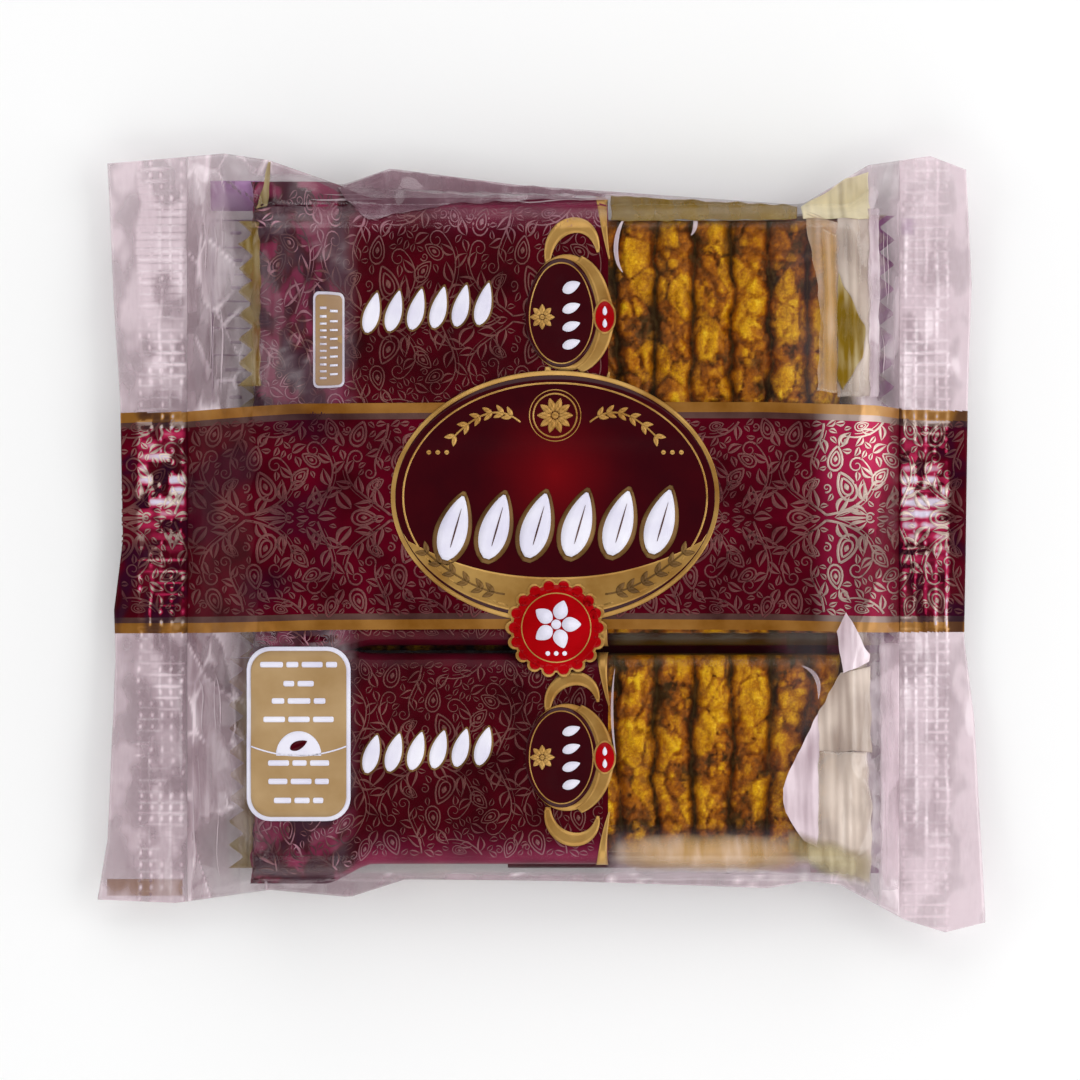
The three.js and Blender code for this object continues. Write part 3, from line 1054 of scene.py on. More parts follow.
# %% Fold the seam under
SEAM_Y = (-11.5, -0.5)
SEAM_LAYERS = 0.12  # the thickness of the folded strip, and its gap below the film
SEAM_HAZE = 0.3


def fold_seam():
    """A flat strip under the film, with a slight wave."""
    along_pack = np.linspace(SEAL_X[0] + 1, SEAL_X[1] - 1, 120)
    x, y = np.meshgrid(along_pack, np.linspace(*SEAM_Y, 14), indexing="ij")
    wave = 0.06 * noise(x / 5, y / 4, 61)
    upper = np.stack([x, y, film_under(x, y) - SEAM_LAYERS + wave], -1)
    lower = upper - [0, 0, SEAM_LAYERS]
    points, faces = shell(upper, lower)
    even = np.full(len(points), SEAM_HAZE)
    return piece("seam", points, faces, [film_clear], None, {"haze": even, "white": even})


film_pieces.append(fold_seam())
for film_piece in film_pieces:
    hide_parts("bag")

# %% [markdown]
# ## The bars
#
# Each bar is a slab of nuts set in caramel, inside a flow wrap. The three on top show their clear ends at
# the right; the three below are turned half round. So a bar is worked out once, in a place of its own,
# and one function carries it into the pack. Copies of one object would do it too, but no two real bars
# are alike.

# %% Where the bars lie
SLAB_X = (-48.0, 53.5)
SLAB_HALF = 17.7
SLAB_HALF_HEIGHT = 4.1
WINDOW_X = 12.0  # where a wrap's clear window starts
TURNED_ABOUT = (4.0, 4.0, 3.0)  # at each place, the X about which the lower bar is turned half round
LOWER_OFF = (-1.0, -2.2, -1.0)  # at each place, how far the lower bar lies to one side of the upper one

BARS = [(layer, place, BAR_Y[place]) for layer in (0, 1) for place in (0, 1, 2)]


def in_pack(bar, x, y, z):
    """From a bar's own place to the pack: a lower bar is turned half round, and lies a little off the upper
    one."""
    layer, place, centre = bar
    turn = 1 if layer else -1
    about, off = (0, 0) if layer else (2 * TURNED_ABOUT[place], LOWER_OFF[place])
    return np.stack([about + turn * x, centre + off + turn * y, LAYER_Z[layer] + z], -1)


print(len(BARS), "bars, the first with its middle at", in_pack(BARS[0], 0.0, 0.0, 0.0))

# %% [markdown]
# ## The nougat
#
# A slab was rolled out hot and pressed, so it has ribs across it, and nuts stand out of them. Nuts could
# be scattered as objects, but real ones melt into the caramel. So a slab is a height over a grid: a
# flattened arch repeated along X, and on it lumps from mosaics, large ones for nut halves and small ones
# for crumbs.

# %% The nougat's surface
RIB_PITCH = 6.84
RIB_START = 13.6  # the X of one groove
RIB_DEPTH = 2.3
LUMP_HEIGHT = 0.7  # how far the highest lumps stand above a rib


def nougat_height(x, y, seed):
    """Ribs, then nut lumps, then crumbs. Gives the drop below the crests, the height share and the nut
    share."""
    wander = 0.9 * noise(x / 9, y / 8, seed) + 0.45 * noise(x / 4, y / 3, seed + 7)
    phase = ((x - RIB_START + wander) / RIB_PITCH) % 1
    arch = np.clip(1 - abs(2 * phase - 1) ** 2.8, 0, 1) ** 0.7
    far, gap, own = cells(x / 4.9 + 0.3, y / 6.4, seed + 1)
    lump = np.clip(1.5 * np.sqrt(np.clip(1 - (far / 0.80) ** 2, 0, 1)), 0, 1) * smooth(gap / 0.14)
    small, small_gap, small_own = cells(x / 1.5, y / 1.7, seed + 2)
    crumb = np.sqrt(np.clip(1 - (small / 0.8) ** 2, 0, 1)) * smooth(small_gap / 0.3)
    kernel = (own > 0.45) * lump
    rise = kernel * (0.35 + 0.60 * own) + (1 - kernel) * crumb * (0.25 + 0.45 * small_own)
    pit = smooth((crumple(x / 3, y / 4, seed + 3) - 0.28) / 0.25)
    height = arch * RIB_DEPTH + arch * rise * 0.9 - (1 - pit) * 0.8 * arch
    nut = kernel * (own > 0.58) + 0.7 * crumb * (small_own > 0.8)
    return height, np.clip(height / (RIB_DEPTH + LUMP_HEIGHT), 0, 1), np.clip(nut, 0, 1) * arch


print("ribs in the window:", round((SLAB_X[1] - WINDOW_X) / RIB_PITCH))

# %% [markdown]
# ## Press the slabs
#
# Points are close together in the window, where the nuts are seen, and far apart under the print. At the
# rim they are crowded, so that the slab's edge turns over smoothly.

# %% Press the slabs
SLAB_OFF = {(1, 1): 1.0, (1, 2): 0.9}  # how far some slabs lie to one side in their wraps
RIM = 1.6  # within this of the edge the points are crowded
CROWDED = np.array([0, 0.06, 0.2, 0.42, 0.7, 1])
SHOWN_STEP = (0.5, 0.36)  # between points in the window, for the lower and the upper layer
SLAB_ROWS = (66, 92)
ROUNDING = 3.0


def clustered(low, high, count, edge):
    """Places from low to high, crowded within edge of both ends so that the rim turns smoothly."""
    near = edge * CROWDED
    middle = np.linspace(low + edge, high - edge, count)
    return np.concatenate([low + near, middle[1:-1], (high - near)[::-1]])


def press_slab(bar):
    """Two nougat heights back to back, their edge turned over like a quarter circle and made ragged by
    noise."""
    layer, place, _ = bar
    seed = 100 + 10 * place + 50 * layer
    hidden = clustered(SLAB_X[0], WINDOW_X - 1, 40, RIM)[:-5]
    shown = np.arange(WINDOW_X - 1, SLAB_X[1] - RIM, SHOWN_STEP[layer])
    end = SLAB_X[1] - RIM * CROWDED[::-1]
    x = np.concatenate([hidden[hidden < WINDOW_X - 1.2], shown, end])
    y = clustered(-SLAB_HALF, SLAB_HALF, SLAB_ROWS[layer], RIM)
    x, y = np.meshgrid(x, y, indexing="ij")
    height, share, nut = nougat_height(x, y, seed)
    below, _, _ = nougat_height(x, y, seed + 5)
    inside = np.minimum(np.minimum(x - SLAB_X[0], SLAB_X[1] - x), SLAB_HALF - abs(y))
    past_rim = 1 - np.clip(inside / ROUNDING, 0, 1)
    round_off = 0.35 + 0.65 * np.sqrt(np.clip(1 - past_rim**2, 0, 1))
    ragged = 0.5 * noise(x / 2.5, y / 3, seed + 6) * past_rim
    core = SLAB_HALF_HEIGHT - RIB_DEPTH - 0.75 - smooth((-34 - x) / 8)
    out_y = y * (1 + 0.012 * ragged) + SLAB_OFF.get((layer, place), 0)
    top = in_pack(bar, x + ragged, out_y, (core + height) * round_off)
    low = in_pack(bar, x + ragged, out_y, -(core + below) * round_off)
    points, faces = shell(top, low)
    return piece(f"nougat_{layer}_{place}", points, faces, [nougat], None,
                 {"height": np.tile(share.ravel(), 2), "nut": np.tile(nut.ravel(), 2)})


for bar in BARS:
    press_slab(bar)

# %% [markdown]
# ## The flow wraps
#
# A flow wrap is a sleeve pinched flat at both ends and cut with zigzag teeth. A box with a modifier can't
# turn into a flat fin, so the wrap is a section carried along the bar: a rectangle with round corners
# that gets lower towards an end. It is walked round by length, so a print needs two numbers, x along the
# bar and s round it.

# %% The section of a wrap
CLEAR_FIN = (57.6, 62.4)  # from where the clear end is pinched flat to where it is cut
PRINTED_FIN = (-52.4, -55.8)
FIN_HALF = 0.09  # half the thickness of a fin


def wrap_half_height(x):
    """Full over the slab, next to nothing in the fins, eased between."""
    right = smooth((CLEAR_FIN[0] - x) / (CLEAR_FIN[0] - SLAB_X[1] - 0.2))
    left = smooth((x - PRINTED_FIN[0]) / (SLAB_X[0] - 0.4 - PRINTED_FIN[0]))
    return FIN_HALF + (WRAP_HALF_HEIGHT - FIN_HALF) * np.minimum(left, right)


def section_half(x):
    """The length from the middle of a face to the middle of a side."""
    b = wrap_half_height(x)
    r = np.minimum(WRAP_CORNER, b)
    return WRAP_HALF - r + r * np.pi / 2 + b - r


def section(x, s, out):
    """The point at length s round the section: straight, a quarter circle, straight down, then the same
    below."""
    b = wrap_half_height(x)
    r = np.minimum(WRAP_CORNER, b)
    half = section_half(x)
    walked = abs(s)
    under = walked > half
    walked = np.where(under, 2 * half - walked, walked)
    flat = np.minimum(walked, WRAP_HALF - r)
    turn = np.clip((walked - (WRAP_HALF - r)) / r, 0, np.pi / 2)
    down = np.maximum(walked - (WRAP_HALF - r) - r * np.pi / 2, 0)
    y = np.sign(s) * (flat + (r + out) * np.sin(turn))
    z = b - r + (r + out) * np.cos(turn) - down
    return y, np.where(under, -z, z)


print("half the way round a wrap is", section_half(0.0).round(1), "mm, and round a fin",
      section_half(CLEAR_FIN[1]).round(1), "mm")

# %% [markdown]
# ## Wrinkles, ears and the bent end
#
# A sleeve that is pinched flat gets wider, so its corners stick out as ears. The printed ends of the
# upper bars are pushed down over the bars below, so there the wrap bends round a cylinder and then runs
# on straight. No point may leave the room between the bag's two layers.

# %% A point of a wrap in the pack
BEND_START = -48.6
BEND_RADIUS = 3.0
BEND_ANGLE = 1.3
CRIMP_PITCH = 0.95  # of the fine crimps in the fins
CRIMP_HEIGHT = 0.10
EARS = ((0.06, 0.32), (0.10, 0.06), (0.20, 0.08))  # how far each upper wrap's near and far ear flares
SLACK = (0.165, 0.0, 0.0)  # how much wider the printed half of each upper wrap is at its far side
FIN_DROP = (1.0, -3.4)  # how far the clear fin leans up or down, for the lower and the upper layer


def wrap_ripple(bar, x, s):
    """Wrinkles of the wrap: slight over the slab, deep at the printed end, fine crimps in the fins."""
    layer, place, _ = bar
    seed = 200 + 10 * place + 50 * layer
    over = 0.10 * noise(x / 9, s / 6, seed) + 0.05 * noise(x / 3, s / 3, seed + 1)
    end = smooth((-38 - x) / 9) * (1 if layer else 0.6)
    taper = smooth((x - 50) / 4) * smooth((CLEAR_FIN[0] + 1 - x) / 2)
    buckle = crumple(x / 8, s / 7, seed + 2) - 0.7
    in_fin = smooth((x - CLEAR_FIN[0]) / 0.6) + smooth((PRINTED_FIN[0] - x) / 0.6)
    crimp = CRIMP_HEIGHT * np.sin(2 * np.pi * x / CRIMP_PITCH) * in_fin
    return np.minimum(over + 1.3 * end * buckle + 0.6 * taper * buckle, 0.08) + crimp


def flare(bar, x, y):
    """A sleeve pinched flat is wider than its bar. The ears at the printed ends stick out, each its own
    way."""
    near, far = EARS[bar[1]] if bar[0] else (0.05, 0.05)
    slack = SLACK[bar[1]] * bar[0] * smooth((15 - x) / 4) * smooth(y / 8)
    return y * (1 + slack + np.where(y > 0, np.maximum(far - slack, 0), near) * smooth((-30 - x) / 9))


def held_in(points, s, half, out):
    """Keeps a wrap between the bag's two layers of film, its upper face a little above its lower one."""
    outside = (abs(points[..., 0] - 3) > 46) | (abs(points[..., 1]) > 56)
    x, y, z = points[outside].T
    under = np.where(abs(np.broadcast_to(s, outside.shape)) > half, 0.07, 0.0)[outside]
    out = np.broadcast_to(out, outside.shape)[outside]
    points[outside, 2] = np.clip(z, film_under(x, y) + 0.2 - under + out, film_top(x, y) - 0.3 - under + out)
    return points


def wrap(bar, x, s, out=0.0):
    """A point of the wrap in the pack: x along the bar, s round it, out above it."""
    layer = bar[0]
    y, z = section(x, s, out)
    y = flare(bar, x, y)
    ripple = wrap_ripple(bar, x, s)
    fin = wrap_half_height(x) < 0.5
    z = z + np.where(fin, ripple, np.sign(z) * ripple)
    drop = smooth((x - 52.5) / 9) * FIN_DROP[layer]
    past = np.maximum(BEND_START - x, 0)
    if layer:
        angle = np.minimum(past / BEND_RADIUS, BEND_ANGLE)
        straight = past - angle * BEND_RADIUS
        x_axis = BEND_START - BEND_RADIUS * np.sin(angle) - straight * np.cos(angle)
        z_axis = -BEND_RADIUS * (1 - np.cos(angle)) - straight * np.sin(angle)
        x_bent = np.where(past > 0, x_axis - z * np.sin(angle), x)
        z_bent = np.where(past > 0, z_axis + z * np.cos(angle), z)
        return held_in(in_pack(bar, x_bent, y, z_bent + drop), s, section_half(x), out)
    return held_in(in_pack(bar, x, y, z + drop + 1.0 * smooth(past / 6)), s, section_half(x), -out)


print("the lowest point of an upper wrap's fin is at Z", wrap(BARS[3], 60.0, 0.0)[..., 2].round(1))

# %% [markdown]
# ## Wrap the bars
#
# The left half of a wrap is printed and the right half is clear. Its rows are closer together where it
# bends and where it is cut. The teeth are points moved back along the bar, so the cut stays a clean edge.

# %% Wrap the bars
WRAP_ROUND = 81
TEETH_PER_SIDE = 9
TOOTH_DEPTH = 2.9
STATIONS = ((PRINTED_FIN[0], 13), (-47, 15), (-36, 13), (WINDOW_X, 27), (52, 23), (CLEAR_FIN[0], 15),
            (CLEAR_FIN[1], 21))  # up to this X, this many rows of faces


def tooth(s, half):
    """How far the cut end stands back at s: a row of triangles."""
    return TOOTH_DEPTH * abs(((s / (2 * half)) * TEETH_PER_SIDE * 2 % 2) - 1)


def wrap_gleam(bar, x, s):
    """How much painted light a wrap's print catches: painted highlight on its shoulders, the outer ones of
    the pack most, painted highlight and shade in facets on its crumpled end, and painted shade on one ear
    of the bars in the lowest place."""
    outer = {0: 1, 2: -1}.get(bar[1], 0)
    shoulder = bell(abs(s) - 18.6, 3.4) * np.where(np.sign(s) == outer, 0.34, 0.04)
    ends = smooth((-33 - x) / 3)
    mixed = noise(x / 5 + s / 11, s / 6 - x / 15, 74 + bar[1]) + 0.6 * noise(x / 1.8, s / 2.6, 78 + bar[1])
    ear = bell(x + 49, 6) * bell(s + 21, 5) * (bar[1] == 2) * (0.6 + 1.5 * noise(x / 2.5, s / 2.5, 79))
    # Painted highlight and painted shade on the crumpled end, and painted shade on the ear.
    crumpled = 0.26 * smooth(2.6 * mixed + 0.25) - 0.62 * smooth(0.1 - 2.6 * mixed) - 0.95 * ear
    return shoulder * (0.7 + 0.6 * noise(x / 9, s / 6, 72)) + ends * crumpled


def wrap_bar(bar):
    """The section carried along the bar, its upper and lower halves two grids, with both cuts toothed."""
    layer, place, _ = bar
    stations = columns_from(PRINTED_FIN[1], STATIONS)
    half = section_half(stations)[:, None]
    share = np.linspace(-1, 1, WRAP_ROUND)[None, :]
    s = share * (half - 0.04)
    x = np.broadcast_to(stations[:, None], s.shape)
    right = np.clip((x - CLEAR_FIN[0]) / (CLEAR_FIN[1] - CLEAR_FIN[0]), 0, 1)
    left = np.clip((PRINTED_FIN[0] - x) / (PRINTED_FIN[0] - PRINTED_FIN[1]), 0, 1)
    cut = x - right * tooth(s, half) + left * tooth(s, half)
    upper = wrap(bar, cut, s)
    lower = wrap(bar, cut, np.sign(s + 1e-9) * (2 * half - abs(s)))
    points, faces = shell(upper, lower)
    bar_x, bar_s = np.tile(x.ravel(), 2), np.tile(s.ravel(), 2)
    along_bar = bar_x[faces].mean(1)
    face_material = (along_bar > WINDOW_X).astype(int)
    if layer == 0:
        face_material[along_bar < PRINTED_FIN[0] + 1.0] = 2
    milk = 0.006 + 0.70 * smooth((bar_x - 53) / 5) * (1 - 0.9 * layer * smooth((bar_x - 58.6) / 1.4))
    sides = bell(abs(bar_s) - 20, 2.6) * smooth((bar_x - WINDOW_X) / 2)
    milk = milk + 0.15 * sides * layer
    patchy = smooth(0.5 + 1.4 * noise(points[:, 0] / 4, points[:, 1] / 5, 71 + place))
    white = (0.8 if layer else 0.5) * patchy * (1 - sides)
    shine = wrap_gleam(bar, bar_x, bar_s)
    finishes = [INKS["maroon"], wrapper_clear, INKS["fin"]]
    return piece(f"wrap_{layer}_{place}", points, faces, finishes, face_material,
                 {"haze": milk, "white": white, "gleam": shine})


for bar in BARS:
    wrap_bar(bar)

# %% [markdown]
# ## Printing
#
# The prints are thin flat shapes laid on the film, because cutting them out with a Boolean takes minutes
# on so fine a mesh. Each starts as a grid between two curves: a line is a ribbon round a path, a leaf is
# a ribbon that swells. Laying it means asking the film where each point is, a hair above the surface.

# %% Flat shapes
INK = 0.03  # thickness of a printed shape
HAIR = 0.05  # how far a print lies above the film, and one print above another


def ribbon(path, half, across=1):
    """A band of half-width half round a path: each point moved along the path's normal by -1 to 1 times
    half."""
    step = np.gradient(path, axis=0)
    length = np.hypot(step[:, 0], step[:, 1])[:, None] + 1e-9
    normal = np.stack([-step[:, 1], step[:, 0]], 1) / length
    offset = np.linspace(-1, 1, across + 1)[None, :, None] * np.broadcast_to(half, len(path))[:, None, None]
    return path[:, None] + normal[:, None] * offset


def between(x, low, high, across):
    """A panel: at each x the points from low to high."""
    share = np.linspace(0, 1, across + 1)[None, :]
    y = low[:, None] + (high - low)[:, None] * share
    return np.stack([np.broadcast_to(x[:, None], y.shape), y], -1)


def mirrored(shape):
    """The shape on the other side of v = 0, its columns turned round so that it still faces up."""
    return (shape * [1, -1])[:, ::-1]


def moved(shape, x, y, angle=0.0, size=1.0):
    """The shape scaled, turned by angle and moved."""
    c, s = math.cos(angle) * size, math.sin(angle) * size
    return shape @ np.array([[c, s], [-s, c]]) + [x, y]


def finer(shape, step):
    """The same shape with points no further apart than step along its length, by straight interpolation."""
    length = np.hypot(*np.diff(shape[:, 0], axis=0).T).sum()
    count = max(len(shape), int(length / step) + 1)
    old = np.linspace(0, 1, len(shape))
    new = np.linspace(0, 1, count)
    flat = shape.reshape(len(shape), -1)
    return np.stack([np.interp(new, old, column) for column in flat.T], 1).reshape(count, *shape.shape[1:])


def lay(shapes, place, out):
    """Closed thin shells of the shapes on a surface: place gives the point at (u, v) and a height above
    it."""
    u, v = np.concatenate([shape.reshape(-1, 2) for shape in shapes]).T
    ends = np.cumsum([shape[..., 0].size for shape in shapes])[:-1]
    upper, lower = (np.split(place(u, v, height), ends) for height in (out, out - INK))
    return [shell(high.reshape(*shape.shape[:2], 3), low.reshape(*shape.shape[:2], 3))
            for shape, high, low in zip(shapes, upper, lower)]


def bezier(points, count):
    """A cubic curve through control points p0 to p3: (1-t)^3 p0 + 3t(1-t)^2 p1 + 3t^2(1-t) p2 + t^3 p3."""
    t = np.linspace(0, 1, count)[:, None]
    p0, p1, p2, p3 = np.array(points, float)
    return (1 - t) ** 3 * p0 + 3 * t * (1 - t) ** 2 * p1 + 3 * t**2 * (1 - t) * p2 + t**3 * p3


print("a ribbon round 5 points has the shape", ribbon(np.eye(5)[:, :2], 0.1).shape)

# %% [markdown]
# ## The damask
#
# Damask is a weaver's ornament of vines, leaves and buds, the same on both sides of a middle line. One
# tile of it is drawn by rule: along each vine leaves grow by turns to the left and the right, and its tip
# rolls up. Then the bare ground is filled with leaflets, dropped at random where there is room.

# %% Draw one tile
TILE_LENGTH = 26.0
TILE_HALF = 17.3  # how far leaflets reach to each side of the middle line
STROKE = 0.20
LEAF_STEPS = 8
VINE_STEPS = 18
CURL_TURNS = 1.25
FILL_TRIES = 1400
LEAFLET_ROOM = 0.72  # the least bare ground round a leaflet
CURL_ROOM = 1.15  # where there is more room than this, a curl fills it


class Pen:
    """Draws the parts of the ornament. Its weight, 0 to 1, says how wide the lines are, and how far a leaf
    is filled from its edge."""

    def __init__(self, weight):
        self.weight = weight

    def leaf(self, x, y, angle, length, fat=0.27, steps=LEAF_STEPS):
        """Two halves on either side of a bare midrib, each swelling as the sine of the way along, bent a
        little."""
        t = np.linspace(0, 1, steps)
        swell = fat * np.sin(np.pi * t**0.8)
        rib = 0.10 * np.sin(np.pi * t)
        halves = []
        for side in (-1, 1):
            far = rib + side * swell
            near = far + (rib + side * 0.035 * np.sin(np.pi * t) - far) * self.weight
            low, high = (near, far) if side > 0 else (far, near)
            halves.append(moved(between(t, low, high, 1), x, y, angle, length))
        return halves

    def bud(self, x, y, angle, size):
        """A rosebud: two teardrop rings, one in the other, round a full heart."""
        t = np.linspace(0, 2 * np.pi, 17)
        drop = np.stack([np.cos(t), 0.72 * np.sin(t) * np.sin(t / 2) ** 0.7], 1)
        rings = [ribbon(drop * scale, half * self.weight) for scale, half in ((1.0, 0.11), (0.6, 0.09))]
        heart = between(np.linspace(-0.3, 0.22, 6), -0.17 * np.sin(np.linspace(0.05, 3.1, 6)),
                        0.17 * np.sin(np.linspace(0.05, 3.1, 6)), 1)
        return [moved(shape, x, y, angle, size) for shape in (*rings, heart)]

    def curl(self, x, y, angle, size, side):
        """A tip that rolls up: a spiral whose radius shrinks as it turns, one turn and a quarter."""
        t = np.linspace(0, 1, VINE_STEPS)
        turn = t * 2 * np.pi * CURL_TURNS
        radius = size * (1 - 0.82 * t)
        path = np.stack([radius * np.sin(turn), side * (size - radius * np.cos(turn))], 1)
        return [moved(ribbon(path, self.weight * STROKE * (1.1 - 0.7 * t)), x, y, angle)]

    def vine(self, points, leaves, side, curl_size, size=3.8):
        """A stem with a thin line beside it, leaves on both sides by turns, and a tip that rolls up."""
        path = bezier(points, VINE_STEPS)
        step = np.gradient(path, axis=0)
        heading = np.arctan2(step[:, 1], step[:, 0])
        normal = np.stack([-np.sin(heading), np.cos(heading)], 1)
        beside = path[2:-3] - side * 0.62 * normal[2:-3]
        stem = ribbon(path, self.weight * STROKE * np.linspace(1.4, 0.8, VINE_STEPS))
        shapes = [stem, ribbon(beside, 0.09 * self.weight)]
        for k in range(leaves):
            at = int(2 + 14 * k / leaves)
            turn = 0.7 if (k + (side > 0)) % 2 else -0.7
            shapes += self.leaf(*path[at], heading[at] + turn, size * (1 - 0.3 * k / leaves))
        return shapes + self.curl(*path[-1], heading[-1], curl_size, side)

    def filling(self, shapes, seed):
        """Leaflets and curls for the bare ground: random places, each taken if the nearest shape is far
        enough."""
        taken = np.concatenate([shape.reshape(-1, 2) for shape in shapes])
        taken = np.concatenate([taken + [k * TILE_LENGTH, 0] for k in (-1, 0, 1)])
        added = []
        rng = np.random.default_rng(seed)
        for x, y, angle in rng.uniform((0, 0.9, 0), (TILE_LENGTH, TILE_HALF, 6.28), (FILL_TRIES, 3)):
            room = np.hypot(*(taken - [x, y]).T).min()
            if room < LEAFLET_ROOM:
                continue
            if room > CURL_ROOM:
                new = self.curl(x, y - 0.6 * room, angle, 0.62 * room, 1)
            else:
                long = 1.9 * room
                base_x, base_y = x - long / 2 * math.cos(angle), y - long / 2 * math.sin(angle)
                new = self.leaf(base_x, base_y, angle, long, 0.3, 5)
            added += new
            taken = np.concatenate([taken, *(shape.reshape(-1, 2) for shape in new)])
        return added

    def tile(self, filled=True):
        """One tile, TILE_LENGTH long, drawn on one side of its middle line and mirrored to the other."""
        leaf, bud, vine = self.leaf, self.bud, self.vine
        half = [
            *vine([(9.0, 0.5), (15.0, 1.0), (20.5, 6.0), (15.5, 10.4)], 5, 1, 1.5),
            *vine([(9.0, 0.5), (5.0, 4.0), (-0.5, 5.5), (1.6, 11.2)], 5, -1, 1.4),
            *vine([(22.0, 0.7), (23.5, 5.0), (27.0, 8.5), (22.4, 13.2)], 5, 1, 1.5),
            *vine([(8.6, 16.9), (8.6, 13.5), (5.5, 11.5), (6.4, 8.2)], 4, -1, 1.1, 3.2),
            *vine([(19.4, 17.2), (18.4, 15.4), (15.5, 13.8), (12.6, 14.6)], 3, 1, 0.9, 2.8),
            *bud(12.6, 5.6, 2.0, 2.7), *bud(3.4, 15.0, 1.2, 2.3), *bud(18.9, 7.4, 0.8, 1.9),
            *bud(20.8, 10.4, 2.6, 1.8), *bud(15.4, 16.4, 0.3, 1.3), *bud(24.4, 16.0, 1.9, 1.9),
            *bud(10.7, 10.6, 1.4, 2.2), *leaf(2.0, 1.6, 2.2, 4.4), *leaf(11.4, 12.6, 0.9, 3.4),
            *leaf(20.0, 1.6, 0.7, 5.0, 0.2), *leaf(16.2, 2.8, 1.7, 4.2, 0.22),
            *leaf(5.2, 3.4, 1.1, 4.4, 0.22), *leaf(17.4, 11.6, 0.5, 3.0), *leaf(0.6, 12.8, 1.9, 3.2),
            *bud(6.6, 6.0, 0.6, 1.4),
        ]
        middle = [*bud(4.4, 0, 0, 2.3), *leaf(8.0, 0, math.pi, 2.6), *leaf(10.5, 0, 0, 6.5, 0.18),
                  *leaf(22.0, 0, 0, 3.4), *leaf(20.5, 0, math.pi, 2.4)]
        if filled:
            half += self.filling([*half, *middle], 7)
        return [*half, *(mirrored(shape) for shape in half), *middle]


bold_tile = Pen(0.8).tile()
fine_tile = Pen(0.5).tile()
plain_tile = Pen(0.5).tile(filled=False)
print(len(bold_tile), "shapes in a tile,", len(plain_tile), "of them in its vines")


def run_of_tiles(tile, start, count):
    """The tile laid count times along X from start."""
    return [shape + [start + k * TILE_LENGTH, 0] for k in range(count) for shape in tile]

# %% [markdown]
# ## The band's print
#
# The damask runs on over both seals, where it has to bend with the ridges, so there its shapes get more
# points along their length. A shape that crosses from the body to a seal belongs to the side that holds
# its middle, and its other points are pushed back to the border.

# %% Print the band
BAND_MIDDLE = 4.5
BODY_STEP = 0.8  # between points along a shape on the body
SEAL_STEP = 0.3
PRINT_ENDS = (-75.6, 76.2)  # the damask keeps clear of the wandering cuts


def on_film(x, y, out):
    """The film's upper layer at (x, y), and out above it."""
    return np.stack([x, y, film_top(x, y) + out], -1)


def on_seal(x, y, out):
    """A seal's upper face at (x, y), and out above it."""
    return np.stack([x, y, seal_top(x, y) + out], -1)


def within(shapes, low_x, high_x):
    """The shapes that lie between two X, with what reaches over pushed back to the limit, and specks
    dropped."""
    kept = []
    for shape in shapes:
        x = shape[..., 0]
        if x.max() < low_x + 0.1 or x.min() > high_x - 0.1:
            continue
        if x.mean() < low_x or x.mean() > high_x:
            continue
        held = shape.copy()
        held[..., 0] = np.clip(x, low_x, high_x)
        kept.append(held)
    return kept


def print_parts(name, parts, material, shine=None):
    """One printed piece. shine gives the gleam at its points, when its ink has one."""
    points, faces = join(parts)
    return piece(name, points, faces, [material], None, {"gleam": shine(points)} if shine else None)


band = [shape + [0, BAND_MIDDLE] for shape in run_of_tiles(bold_tile, -88.0, 7)]
on_body = [finer(shape, BODY_STEP) for shape in within(band, SEAL_X[0] + 0.1, SEAL_X[1] - 0.1)]
print_parts("damask_band", lay(on_body, on_film, HAIR), INKS["damask"],
            lambda points: gleam(points[:, 0], points[:, 1]))
for side, name in ((-1, "left"), (1, "right")):
    inner, end = SEAL_X[side > 0], PRINT_ENDS[side > 0]
    shapes = [finer(shape, SEAL_STEP) for shape in within(band, min(inner, end), max(inner, end))]
    print_parts(f"damask_seal_{name}", lay(shapes, on_seal, HAIR), INKS["damask"],
                lambda points: 0.6 * seal_gleam(abs(points[:, 0] - inner), points[:, 1], side))

# %% [markdown]
# ## The wraps' print
#
# Each wrap carries the same damask with thinner lines, walked round it by length, so it runs over the
# corners and down the sides. The lower bars are hardly seen, so theirs has no leaflets.

# %% Print the wraps
WRAP_PRINT_X = (-51.5, 11.0)
FLAT_STEP = 1.4  # between points where the wrap is flat
END_RISE = 0.12  # how much higher a print lies on a crumpled end, to clear its buckles


def round_wrap(bar):
    """The damask where it shows: an upper bar's face and sides, a lower bar's sides and underside. At the
    crumpled end it gets more points."""
    layer, place, _ = bar
    shapes = within(run_of_tiles(fine_tile if layer else plain_tile, -66.0 + 5 * place, 4), *WRAP_PRINT_X)
    half = float(section_half(np.array(0.0)))
    turned = 0 if layer else 2 * half

    def on_wrap(x, v, out):
        s = v + turned
        s = np.where(s > 2 * half, s - 4 * half, s)
        return wrap(bar, x, s, out + END_RISE * smooth((-36 - x) / 5))

    steps = [BODY_STEP if shape[..., 0].mean() < -37 else FLAT_STEP for shape in shapes]
    return lay([finer(shape, step) for shape, step in zip(shapes, steps)], on_wrap, HAIR)


for bar in BARS:
    print_parts(f"damask_{bar[0]}_{bar[1]}", round_wrap(bar), INKS["wrap"],
                lambda points: wrap_gleam(bar, points[:, 0], points[:, 1] - bar[2]))

# %% [markdown]
# ## Folds
#
# Where loose film is folded over, two or three layers lie together, and the patch is whiter, with
# straight edges. At the right end it is folded in this way over the bars' clear ends, whose own film is
# yellowish. There the whitest patches are also painted highlight, where the film faces the right lamp.
# A simulation would fold it anywhere. Here each fold is a thin patch between a lower and an upper line
# of corners.

